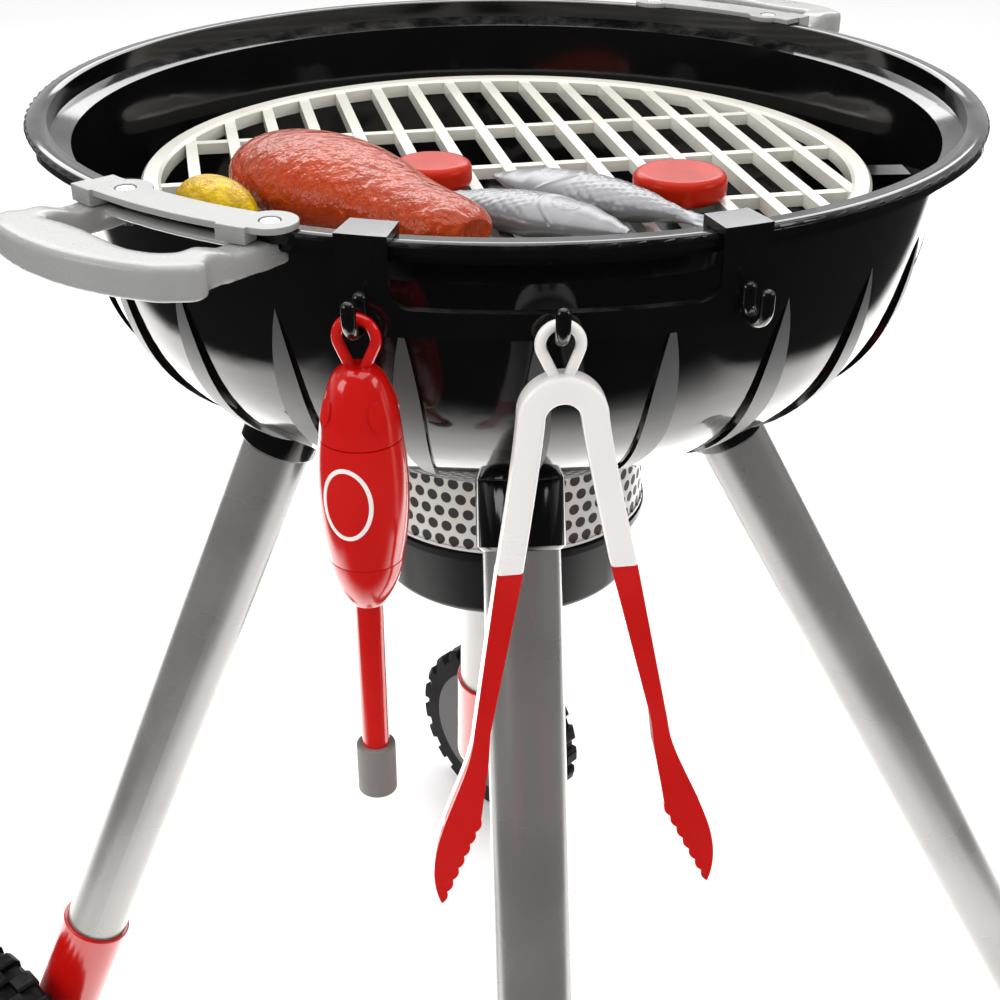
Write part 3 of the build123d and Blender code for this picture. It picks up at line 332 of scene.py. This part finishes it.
def roast_skin(tree, base):
    """Browned patches, pale flecks and small blisters."""
    patches = ranged(tree, noise_value(tree, 55.0, 4.0, 0.6), 0.42, 0.68)
    colour = blended(tree, maths(tree, "MULTIPLY", patches, 0.7), base, (0.24, 0.026, 0.005))
    fine = ranged(tree, noise_value(tree, 420.0, 3.0, 0.6), 0.4, 0.72)
    colour = blended(tree, maths(tree, "MULTIPLY", fine, 0.1), colour, (0.6, 0.16, 0.03))
    return {"colour": colour, "height": noise_value(tree, 260.0, 3.0, 0.5)}


def kernel_skin(tree, base):
    """Uneven pale and deep yellow on the rough piece."""
    patches = ranged(tree, noise_value(tree, 160.0, 3.0, 0.6), 0.35, 0.65)
    colour = blended(tree, patches, base, (0.42, 0.25, 0.002))
    return {"colour": colour, "height": noise_value(tree, 330.0, 3.0, 0.55)}


def fish_tone(tree, base):
    """Darker silver in fine patches over the body, from noise."""
    fine = ranged(tree, noise_value(tree, 260.0, 3.0, 0.6), 0.35, 0.7)
    return {"colour": blended(tree, maths(tree, "MULTIPLY", fine, 0.35), base, (0.16, 0.165, 0.18))}


FINISHES = {
    "gloss_black": ("black", 0.07, dict(
        detail=rib_satin, relief=0.001, spread=0.02, tint=0.1, bump=0.01, grain=1.6, marks=0.2,
    )),
    "fitting_black": ("black", 0.12, dict(spread=0.04, tint=0.1, bump=0.03, grain=1.0)),
    "pot_black": ("charcoal", 0.3, dict(spread=0.04, bump=0.05, ior=1.25)),
    "tube_paint": ("tube", 0.27, dict(
        metal=0.45, detail=drawn_lines, marks=0.06, mark_size=60.0, dust=0.0, bump=0.03,
    )),
    "band_foil": ("band", 0.3, dict(detail=vent_dots, ior=1.3, relief=0.0003)),
    "red_plastic": ("red", 0.16, dict(spread=0.05, bump=0.04, coat=0.2, tint=0.06, dust=0.0)),
    "handle_grey": ("handle", 0.26, dict(spread=0.06, bump=0.04, tint=0.04, ior=1.42)),
    "steel": ("steel", 0.24, dict(metal=0.95, marks=0.8, grain=0.4)),
    "tyre_black": ("tyre", 0.62, dict(bump=0.35, grain=0.7, dust=0.04, spread=0.12, ior=1.15)),
    "hub_grey": ("hub", 0.42, dict(bump=0.15, ior=1.25)),
    "grate_cream": ("grate", 0.2, dict(tint=0.03, bump=0.04, coat=0.15, dust=0.02)),
    "roast_skin": ("roast", 0.1, dict(
        detail=roast_skin, relief=0.0014, spread=0.03, flow=22.0, ior=1.28, marks=0.1, dust=0.0,
    )),
    "fish_silver": ("fish", 0.3, dict(metal=0.42, detail=fish_tone, bump=0.08, ior=1.35, dust=0.0)),
    "kernel_yellow": ("yellow", 0.26, dict(detail=kernel_skin, relief=0.0014, ior=1.26, marks=0.1, dust=0.0)),
    "slice_red": ("slice", 0.22, dict(ior=1.2, flow=16.0, tint=0.1, marks=0.1, dust=0.0)),
    "tip_grey": ("tip", 0.55, dict(bump=0.3, grain=0.6)),
    "tongs_white": ("white", 0.24, dict(tint=0.02, bump=0.05, coat=0.1, dust=0.02)),
}


def finished(name):
    """The finish of that name, with its colour from the panel."""
    colour, roughness, look = FINISHES[name]
    settings = bpy.context.scene.grill_colours
    return finish(name, tuple(getattr(settings, colour)), roughness, **look)


def coat_nodes(name, *nodes):
    """Give CAD nodes a finish."""
    for node in nodes:
        data = frame["nodes"][node].data
        data.materials.clear()
        data.materials.append(finished(name))


def new_piece(name, points, faces, material, body, smooth=True):
    """Mesh piece made of points in the grill's frame, riding on a body."""
    mesh = bpy.data.meshes.new(name)
    mesh.from_pydata([tuple(point) for point in points], [], faces)
    mesh.validate()
    mesh.update()
    for polygon in mesh.polygons:
        polygon.use_smooth = smooth
    mesh.materials.append(finished(material))
    piece = bpy.data.objects.new(name, mesh)
    bpy.context.scene.collection.objects.link(piece)
    if body:
        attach(piece, body)
    return piece


# Detailed pieces


def hung(joint, lean=0.0):
    """Place of a thing hung on a hook: +X to its right, +Z up and the hook's valley at the origin."""
    row = next(row for row in frame["record"]["behaviour"]["joints"] if row["name"] == joint)
    turn = math.atan2(row["axis"][0], -row["axis"][1])
    move = Matrix.Translation(row["pos_m"]) @ Matrix.Rotation(turn, 4, "Z")
    return move @ Matrix.Rotation(math.radians(-lean), 4, "Y")


def loft_faces(rings, size, closed_rings=True):
    """Quads between rings of points that follow each other."""
    faces = []
    for ring in range(rings - 1):
        for index in range(size if closed_rings else size - 1):
            after = (index + 1) % size
            low = ring * size
            faces.append((low + index, low + after, low + size + after, low + size + index))
    return faces


def rounded_oval(half_width, half_depth, corner, steps=5):
    """Points round a rectangle with round corners."""
    points = []
    for sign_x, sign_y, start in ((1, 1, 0), (-1, 1, 90), (-1, -1, 180), (1, -1, 270)):
        for step in range(steps):
            turn = math.radians(start + 90 * step / (steps - 1))
            points.append((
                sign_x * (half_width - corner) + corner * math.cos(turn),
                sign_y * (half_depth - corner) + corner * math.sin(turn),
            ))
    return points


# Hung tongs: drops below the rim in millimetres, and sizes of the bow and its loop
HOOK_VALLEY_DROP = 22.3
TONGS_LEAN = 2.4
BOW_HALF_DEPTH = 4.0
BOW_CORNER = 1.3
BOW_BEND_SHARE = 0.36
LOOP_CENTRE_DROP = 24.0
LOOP_END_DROP = 34.2
LOOP_RADIUS = 5.5
LOOP_WIRE_RADIUS = 1.6
LOOP_SIDES = 14


def bow_station(share):
    """Outer and inner point of the tongs' bow, from its crown to the end of its white arm, in millimetres."""
    if share < BOW_BEND_SHARE:
        turn = math.radians(90 * share / BOW_BEND_SHARE)
        outer = (12.6 * math.sin(turn), -44.75 + 12.35 * math.cos(turn))
        inner = (5.0 * math.sin(turn), -45.4 + 5.0 * math.cos(turn))
        return outer, inner
    along = (share - BOW_BEND_SHARE) / (1 - BOW_BEND_SHARE)
    outer = (12.6 + 7.7 * along ** 1.15, -44.75 - 47.25 * along)
    inner = (5.0 + 7.6 * along ** 1.1, -45.4 - 46.6 * along)
    return outer, inner


def make_bow_half(side, name):
    """One half of the white bow and its arm."""
    place = hung("tongs_swing", TONGS_LEAN)
    points = []
    stations = 56
    for station in range(stations):
        outer, inner = bow_station(station / (stations - 1))
        middle = Vector(((outer[0] + inner[0]) / 2, 0, (outer[1] + inner[1]) / 2))
        across = Vector((outer[0] - inner[0], 0, outer[1] - inner[1]))
        section = rounded_oval(across.length / 2, BOW_HALF_DEPTH, BOW_CORNER)
        across.normalize()
        for reach, depth in section:
            point = middle + across * reach + Vector((0, depth, 0))
            above_valley = point.z + HOOK_VALLEY_DROP
            points.append(place @ (Vector((point.x * side, point.y, above_valley)) * MM))
    size = len(section)
    faces = loft_faces(stations, size)
    faces.append(tuple(range((stations - 1) * size, stations * size)))
    if side > 0:
        faces = [tuple(reversed(face)) for face in faces]
    piece = new_piece(name, points, faces, "tongs_white", None)
    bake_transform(piece)
    return piece


def tube_points(path, radius, place, sides):
    """Points round a path that lies across the hook, in millimetres."""
    points = []
    for index, here in enumerate(path):
        before = path[max(0, index - 1)]
        after = path[min(len(path) - 1, index + 1)]
        along = Vector((after[0] - before[0], 0, after[1] - before[1])).normalized()
        across = Vector((along.z, 0, -along.x))
        for side in range(sides):
            turn = math.tau * side / sides
            point = Vector((here[0], 0, here[1])) + across * radius * math.cos(turn)
            point.y += radius * math.sin(turn)
            points.append(place @ (point * MM))
    return points


def make_tongs_loop():
    """The round wire loop over the bow."""
    centre = HOOK_VALLEY_DROP - LOOP_CENTRE_DROP
    low = HOOK_VALLEY_DROP - LOOP_END_DROP
    wire = LOOP_WIRE_RADIUS
    ring = LOOP_RADIUS
    swing = math.acos(ring / math.hypot(wire, centre - low)) + math.atan2(wire, centre - low)
    steps = 40
    path = [(-wire, low)]
    for step in range(steps + 1):
        turn = swing + (math.tau - swing * 2) * step / steps
        path.append((-ring * math.sin(turn), centre - ring * math.cos(turn)))
    path.append((wire, low))
    points = tube_points(path, wire, hung("tongs_swing", TONGS_LEAN), LOOP_SIDES)
    faces = loft_faces(len(path), LOOP_SIDES)
    return new_piece("tongs_loop", points, faces, "tongs_white", "tongs")


# Label ring on the igniter's body, in millimetres and degrees
LABEL_DROP = 68.8
LABEL_AZIMUTH = -21.5
LABEL_HALF_TURN = 32.0
LABEL_HALF_HEIGHT = 10.5
LABEL_LINE = 1.4
LABEL_BODY_RADIUS = 13.0


def make_label_ring():
    """Raised white oval ring on the igniter's body."""
    place = hung("igniter_swing")
    body = frame["nodes"]["igniter_body"]
    axis = place.translation
    points = []
    steps = 96
    profile = ((-0.5, -0.15), (-0.42, 0.12), (0.0, 0.2), (0.42, 0.12), (0.5, -0.15))
    for step in range(steps):
        turn = math.tau * step / steps
        for reach, raised in profile:
            half_turn = math.radians(LABEL_HALF_TURN) + reach * LABEL_LINE / LABEL_BODY_RADIUS
            half_height = LABEL_HALF_HEIGHT + reach * LABEL_LINE
            azimuth = math.radians(LABEL_AZIMUTH) + half_turn * math.sin(turn)
            height = axis.z - (LABEL_DROP - HOOK_VALLEY_DROP) * MM + half_height * math.cos(turn) * MM
            out = Vector((math.sin(azimuth), -math.cos(azimuth), 0))
            start = Vector((axis.x, axis.y, height)) + out * 40 * MM
            hit, at, normal, _ = body.ray_cast(start, -out)
            if not hit:
                raise RuntimeError("the label ring misses the igniter's body")
            points.append(at + normal * raised * MM)
    size = len(profile)
    faces = loft_faces(steps, size, False)
    last = (steps - 1) * size
    faces += [(last + index, last + index + 1, index + 1, index) for index in range(size - 1)]
    return new_piece("igniter_label_ring", points, faces, "tongs_white", "igniter")


# Each fish: x and y of its middle in millimetres, its turn in degrees and its length
FISHES = {"fish_front": (-2.6, -73.6, 145.7, 83.0), "fish_back": (29.4, -64.4, -40.5, 92.0)}
FISH_WIDTH = 26.0
FISH_HALF_HEIGHT = 6.3
FISH_REST = 6.05


def fish_half(along):
    """Half width and half height of a fish at a share of its length from the snout, in millimetres."""
    marks = (
        (0.0, 0.07, 0.1), (0.03, 0.14, 0.22), (0.1, 0.28, 0.52), (0.2, 0.42, 0.82), (0.36, 0.5, 1.0),
        (0.5, 0.45, 0.94), (0.62, 0.36, 0.76), (0.74, 0.2, 0.46), (0.8, 0.13, 0.3), (0.86, 0.17, 0.2),
        (0.93, 0.25, 0.17), (1.0, 0.31, 0.12),
    )
    for (low, wide, high), (up, next_wide, next_high) in zip(marks, marks[1:]):
        if along <= up:
            share = smooth_step(low, up, along) * 0.4 + 0.6 * (along - low) / (up - low)
            width = FISH_WIDTH * (wide + (next_wide - wide) * share)
            return width, FISH_HALF_HEIGHT * (high + (next_high - high) * share)
    return FISH_WIDTH * marks[-1][1], FISH_HALF_HEIGHT * marks[-1][2]


def fish_relief(along, across, length):
    """Height of scales, gill, eye and fin rays over the smooth body, in millimetres."""
    x = along * length
    if along > 0.84:
        return 0.28 * math.sin(across * 1.9) * smooth_step(0.84, 0.92, along)
    relief = 0.0
    if 0.36 < along:
        row = math.floor(x / 2.3)
        best = 0.0
        for near in (row - 1, row, row + 1):
            offset = 0.5 * (near % 2)
            column = round(across / 3.1 - offset) + offset
            reach = math.hypot((x - near * 2.3) / 2.0, (across - column * 3.1) / 1.75)
            best = max(best, (1 - reach * reach) * (0.72 + 0.1 * (near - row)))
        relief += 0.5 * max(0.0, best) * smooth_step(0.36, 0.4, along) * smooth_step(0.84, 0.78, along)
    gill = abs(along - (0.37 - 0.0009 * across * across))
    relief += 0.45 * smooth_step(0.016, 0.0, gill)
    eye = math.hypot((x - 0.26 * length) / 1.15, across - 0.4)
    for ring in (1.3, 2.6, 3.9):
        relief += 0.34 * smooth_step(0.55, 0.0, abs(eye - ring))
    relief += 0.4 * smooth_step(1.0, 0.0, eye)
    return relief


def make_fish(node):
    """A fish with a smooth head, ringed eye, scales and a forked tail, in place of the plain CAD fish."""
    x, y, turn, length = FISHES[node]
    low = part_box(node)[0].z
    move = Matrix.Translation((x * MM, y * MM, low + FISH_REST * MM))
    place = move @ Matrix.Rotation(math.radians(turn), 4, "Z")
    stations = 190
    around = 96
    points = []
    for station in range(stations):
        along = station / (stations - 1)
        wide, high = fish_half(along)
        for step in range(around):
            turn_round = math.tau * step / around
            across = wide * math.cos(turn_round)
            up = high * math.sin(turn_round)
            fork = 8.0 * (1 - abs(across) / 8.1) * smooth_step(0.84, 1.0, along)
            out = fish_relief(along, across, length) if up > 0 else 0.0
            lift = out * math.sin(turn_round) if up > 0 else 0.0
            spread = 1 + 0.03 * out * smooth_step(0.05, 0.3, along)
            points.append(place @ Vector((
                (along * length - fork - length / 2) * MM, across * spread * MM,
                max(up + lift, -6.0) * MM,
            )))
    faces = loft_faces(stations, around)
    faces.append(tuple(range(around)))
    faces.append(tuple(reversed(range((stations - 1) * around, stations * around))))
    piece = new_piece(node + "_body", points, faces, "fish_silver", "grate")
    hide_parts(node)
    return piece


def soften_edges(width, *nodes):
    """Round the moulded edges of CAD nodes by so many millimetres."""
    for node in nodes:
        piece = frame["nodes"][node]
        weld = piece.modifiers.new("weld", "WELD")
        weld.merge_threshold = 0.00002
        bevel = piece.modifiers.new("round", "BEVEL")
        bevel.width = width * MM
        bevel.segments = 3
        bevel.limit_method = "ANGLE"
        bevel.angle_limit = math.radians(38)
        bevel.harden_normals = True
        bevel.miter_outer = "MITER_ARC"


def melt_edges(*nodes):
    """Give CAD nodes the soft rounded edges of a thick moulding."""
    for node in nodes:
        piece = frame["nodes"][node]
        remesh = piece.modifiers.new("skin", "REMESH")
        remesh.mode = "VOXEL"
        remesh.voxel_size = 0.8 * MM
        remesh.use_smooth_shade = True
        smooth = piece.modifiers.new("soft", "SMOOTH")
        smooth.factor = 0.5
        smooth.iterations = 24


# Sizes and colours that a user may change


def colour_setting(name, description, default):
    return FloatVectorProperty(
        name=name, description=description, default=default, subtype="COLOR", size=3, min=0.0, max=1.0
    )


class GrillColours(bpy.types.PropertyGroup):
    black: colour_setting("Black", "Gloss black of the bowl and its fittings", (0.0028, 0.0028, 0.003))
    charcoal: colour_setting("Charcoal", "Ash pot under the vent band", (0.006, 0.006, 0.0065))
    tube: colour_setting("Tube", "Silver-grey paint of the leg tubes", (0.235, 0.23, 0.225))
    band: colour_setting("Band", "Silver of the vent band", (0.55, 0.52, 0.49))
    red: colour_setting("Red", "Red of the igniter, tongs blades and wheel sleeves", (0.46, 0.0045, 0.003))
    handle: colour_setting("Handle", "Light grey of the side handles", (0.25, 0.25, 0.245))
    steel: colour_setting("Steel", "Screws and axles", (0.55, 0.55, 0.56))
    tyre: colour_setting("Tyre", "Black of the tyres", (0.005, 0.005, 0.0055))
    hub: colour_setting("Hub", "Grey of the wheel hubs", (0.075, 0.072, 0.074))
    grate: colour_setting("Grate", "Cream of the cooking grate", (0.66, 0.64, 0.57))
    roast: colour_setting("Roast", "Orange brown of the play drumstick", (0.33, 0.034, 0.007))
    fish: colour_setting("Fish", "Silver of the play fish", (0.2, 0.2, 0.205))
    yellow: colour_setting("Yellow", "Yellow play piece", (0.58, 0.38, 0.003))
    slice: colour_setting("Slice", "Red play slices", (0.4, 0.014, 0.004))
    tip: colour_setting("Tip", "Grey tip of the igniter", (0.16, 0.145, 0.135))
    white: colour_setting("White", "White top of the tongs and label ring", (0.7, 0.68, 0.66))


class GrillStage(bpy.types.PropertyGroup):
    floor_size: FloatProperty(
        name="Floor Size", description="Side of the pale floor", default=14.0, min=2.0, unit="LENGTH"
    )
    key_power: FloatProperty(
        name="Key Power", description="Power of the large soft light over the grill", default=26.0, min=0.0,
        unit="POWER",
    )
    sheen_power: FloatProperty(
        name="Sheen Power", description="Power of the panel that gives top faces their sheen", default=62.0,
        min=0.0, unit="POWER",
    )
    fill: FloatProperty(name="Fill", description="Strength of the white surroundings", default=0.95, min=0.0)
    focal_length: FloatProperty(
        name="Focal Length", description="Camera focal length in millimetres", default=57.02, min=10.0
    )


class GrillOperator(bpy.types.Operator):
    bl_options = {"REGISTER", "UNDO"}


class GRILL_OT_stage(GrillOperator):
    """Pale floor, soft studio light and the camera"""

    bl_idname = "grill.stage"
    bl_label = "Studio"

    def execute(self, context):
        settings = context.scene.grill_stage
        make_floor(settings.floor_size)
        make_surroundings(settings.fill)
        make_softbox("softbox_top", (0.1, 0.2, 2.1), (0.0, 0.0, 0.3), 1.9, settings.key_power)
        make_sheen("sheen_back", (0.0, 2.5, 2.05), (0.0, 0.0, 0.5), (3.4, 1.3), settings.sheen_power)
        make_softbox("softbox_left", (-1.5, -0.6, 1.2), (0.0, 0.0, 0.35), 0.8, settings.key_power * 0.35)
        make_softbox("softbox_right", (1.5, -0.4, 1.3), (0.0, 0.0, 0.35), 0.7, settings.key_power * 0.22)
        make_camera(settings.focal_length)
        return {"FINISHED"}


def make_floor(side):
    """Floor that reads as pale to the camera and, in reflections only, carries a painted reflection: it glows
    by emission over the back and sides (painted light) and falls off to nearly black towards the dark front
    of the room (painted dark).
    """
    half = side / 2
    mesh = bpy.data.meshes.new("floor")
    corners = [(-half, -half, 0), (half, -half, 0), (half, half, 0), (-half, half, 0)]
    mesh.from_pydata(corners, [], [(0, 1, 2, 3)])
    floor = bpy.data.objects.new("floor", mesh)
    bpy.context.scene.collection.objects.link(floor)
    material = bpy.data.materials.new("floor_paper")
    material.use_nodes = True
    tree = material.node_tree
    principled = tree.nodes["Principled BSDF"]
    parts = put(tree, "ShaderNodeSeparateXYZ", Vector=tree.nodes.new("ShaderNodeTexCoord").outputs["Object"])
    aside = maths(tree, "SUBTRACT", maths(tree, "ABSOLUTE", parts.outputs["X"]), 0.5)
    aside = maths(tree, "MAXIMUM", aside, 0.0)
    inward = maths(tree, "MULTIPLY_ADD", aside, -2.6, parts.outputs["Y"])
    # Share of the floor that shows a painted glow in reflections; the rest shows painted dark there.
    glow_share = ranged(tree, inward, -0.42, -0.12)
    mirrored = tree.nodes.new("ShaderNodeLightPath").outputs["Is Glossy Ray"]
    # Painted dark: nearly black floor colour seen only in reflections, away from the glowing share.
    painted_dark = maths(tree, "MULTIPLY", maths(tree, "SUBTRACT", 1.0, glow_share), mirrored)
    paper = blended(tree, noise_value(tree, 3.0, 2.0), (0.93, 0.93, 0.925), (0.95, 0.95, 0.95))
    tree.links.new(blended(tree, painted_dark, paper, (0.004, 0.004, 0.004)), principled.inputs["Base Color"])
    # Painted light: emission given only to reflection rays, so the floor glows in reflections though it is no
    # lamp.
    painted_glow = blended(tree, maths(tree, "MULTIPLY", glow_share, mirrored), (0.0, 0.0, 0.0), (1.0, 0.98, 0.94))
    tree.links.new(painted_glow, principled.inputs["Emission Color"])
    principled.inputs["Emission Strength"].default_value = 2.4
    principled.inputs["Roughness"].default_value = 0.7
    mesh.materials.append(material)


def make_surroundings(fill):
    """White for the camera and for soft light; dim in reflections except from behind and above."""
    world = bpy.data.worlds.new("studio")
    bpy.context.scene.world = world
    world.use_nodes = True
    tree = world.node_tree
    tree.nodes.clear()
    direction = tree.nodes.new("ShaderNodeTexCoord").outputs["Generated"]
    parts = put(tree, "ShaderNodeSeparateXYZ", Vector=direction)
    behind = ranged(tree, parts.outputs["Y"], -0.3, 0.5, 0.03, 0.8)
    path = tree.nodes.new("ShaderNodeLightPath")
    grey = put(tree, "ShaderNodeCombineColor", Red=behind, Green=behind, Blue=behind)
    colour = blended(tree, path.outputs["Is Glossy Ray"], (1.0, 1.0, 1.0), grey.outputs[0])
    shine = put(tree, "ShaderNodeBackground", Color=colour, Strength=fill)
    out = tree.nodes.new("ShaderNodeOutputWorld")
    tree.links.new(shine.outputs[0], out.inputs[0])


def make_softbox(name, place, target, size, power):
    light = bpy.data.lights.new(name, "AREA")
    light.shape = "SQUARE"
    light.size = size
    light.energy = power
    lamp = bpy.data.objects.new(name, light)
    lamp.location = place
    lamp.rotation_euler = (Vector(target) - Vector(place)).to_track_quat("-Z", "Y").to_euler()
    bpy.context.scene.collection.objects.link(lamp)


def make_sheen(name, place, target, size, power):
    """Panel behind the grill that shows only in reflections."""
    make_softbox(name, place, target, size[0], power)
    lamp = bpy.data.objects[name]
    lamp.data.shape = "RECTANGLE"
    lamp.data.size_y = size[1]
    lamp.visible_diffuse = False
    lamp.visible_camera = False


def make_camera(focal_length):
    camera = bpy.data.cameras.new("camera")
    camera.lens = focal_length
    camera.sensor_width = 36.0
    camera.shift_y = 0.063
    viewer = bpy.data.objects.new("camera", camera)
    viewer.location = (-0.0356, -0.5646, 0.6459)
    viewer.rotation_euler = (math.radians(59.60), 0.0, math.radians(-3.38))
    bpy.context.scene.collection.objects.link(viewer)
    bpy.context.scene.camera = viewer
    bpy.context.scene.view_settings.view_transform = "Standard"


class GRILL_OT_kettle(GrillOperator):
    """Bowl, sockets, vent band, ash pot and hook rail"""

    bl_idname = "grill.kettle"
    bl_label = "Kettle"

    def execute(self, context):
        coat_nodes("gloss_black", "kettle_bowl")
        sockets = [node for node in frame["nodes"] if node.startswith("leg_socket")]
        coat_nodes("fitting_black", "hook_rail", *sockets)
        coat_nodes("pot_black", "ash_pot")
        coat_nodes("band_foil", "vent_band")
        coat_nodes("steel", "floor_screws")
        soften_edges(0.5, "hook_rail")
        soften_edges(0.4, *sockets)
        return {"FINISHED"}


class GRILL_OT_legs(GrillOperator):
    """Leg tubes, feet, wheel sleeves and wheels"""

    bl_idname = "grill.legs"
    bl_label = "Legs and Wheels"

    def execute(self, context):
        tubes = [node for node in frame["nodes"] if node.startswith("leg_tube")]
        coat_nodes("tube_paint", *tubes)
        coat_nodes("fitting_black", "foot_cap_front", "foot_cap_right", "axle_cap_rear", "axle_cap_left")
        coat_nodes("red_plastic", "wheel_sleeve_rear", "wheel_sleeve_left")
        coat_nodes("steel", "wheel_axle_rear", "wheel_axle_left")
        coat_nodes("tyre_black", "tyre_rear", "tyre_left")
        coat_nodes("hub_grey", "hub_rear", "hub_left")
        return {"FINISHED"}


class GRILL_OT_handles(GrillOperator):
    """Side handles with their clips and screws"""

    bl_idname = "grill.handles"
    bl_label = "Handles"

    def execute(self, context):
        clips = ["handle_clip_left", "handle_clip_right"]
        grips = ["handle_grip_left", "handle_grip_right"]
        coat_nodes("handle_grey", *clips, *grips)
        coat_nodes("steel", "handle_screws")
        soften_edges(0.35, *clips)
        melt_edges(*grips)
        return {"FINISHED"}


class GRILL_OT_igniter(GrillOperator):
    """Red toy igniter with its label ring"""

    bl_idname = "grill.igniter"
    bl_label = "Igniter"

    def execute(self, context):
        coat_nodes("red_plastic", "igniter_cap", "igniter_body", "igniter_nose", "igniter_rod")
        coat_nodes("tip_grey", "igniter_tip")
        make_label_ring()
        return {"FINISHED"}


class GRILL_OT_tongs(GrillOperator):
    """White and red toy tongs"""

    bl_idname = "grill.tongs"
    bl_label = "Tongs"

    def execute(self, context):
        coat_nodes("tongs_white", "tongs_bow", "tongs_arm_left", "tongs_arm_right")
        coat_nodes("red_plastic", "tongs_blade_left", "tongs_blade_right")
        left = make_bow_half(-1, "tongs_bow_left")
        right = make_bow_half(1, "tongs_bow_right")
        loop = make_tongs_loop()
        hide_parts("tongs_arm_left")
        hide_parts("tongs_arm_right")
        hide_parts("tongs_bow")
        soften_edges(0.6, "tongs_blade_left", "tongs_blade_right")
        return {"FINISHED"}


class GRILL_OT_food(GrillOperator):
    """Grate and the play food on it"""

    bl_idname = "grill.food"
    bl_label = "Grate and Play Food"

    def execute(self, context):
        coat_nodes("grate_cream", "cooking_grate")
        coat_nodes("roast_skin", "drumstick")
        for node in FISHES:
            make_fish(node)
        coat_nodes("kernel_yellow", "corn_piece")
        coat_nodes("slice_red", "tomato_slices")
        return {"FINISHED"}


OPERATORS = [
    GRILL_OT_stage,
    GRILL_OT_kettle,
    GRILL_OT_legs,
    GRILL_OT_handles,
    GRILL_OT_igniter,
    GRILL_OT_tongs,
    GRILL_OT_food,
]


class GRILL_PT_panel(bpy.types.Panel):
    """Builds the grill's pieces one group at a time"""

    bl_idname = "GRILL_PT_panel"
    bl_label = "Toy Kettle Grill"
    bl_space_type = "VIEW_3D"
    bl_region_type = "UI"
    bl_category = "Grill"

    def draw(self, context):
        column = self.layout.column(align=True)
        for operator in OPERATORS:
            column.operator(operator.bl_idname)
        for settings in (context.scene.grill_stage, context.scene.grill_colours):
            box = self.layout.box()
            for key in settings.bl_rna.properties.keys():
                if key not in ("rna_type", "name"):
                    box.prop(settings, key)


CLASSES = [GrillColours, GrillStage, *OPERATORS, GRILL_PT_panel]


def register():
    for item in CLASSES:
        bpy.utils.register_class(item)
    bpy.types.Scene.grill_colours = PointerProperty(type=GrillColours)
    bpy.types.Scene.grill_stage = PointerProperty(type=GrillStage)


def unregister():
    del bpy.types.Scene.grill_stage
    del bpy.types.Scene.grill_colours
    for item in reversed(CLASSES):
        bpy.utils.unregister_class(item)


def main():
    register()
    for operator in OPERATORS:
        group, name = operator.bl_idname.split(".")
        getattr(getattr(bpy.ops, group), name)()


if __name__ == "__main__":
    main()
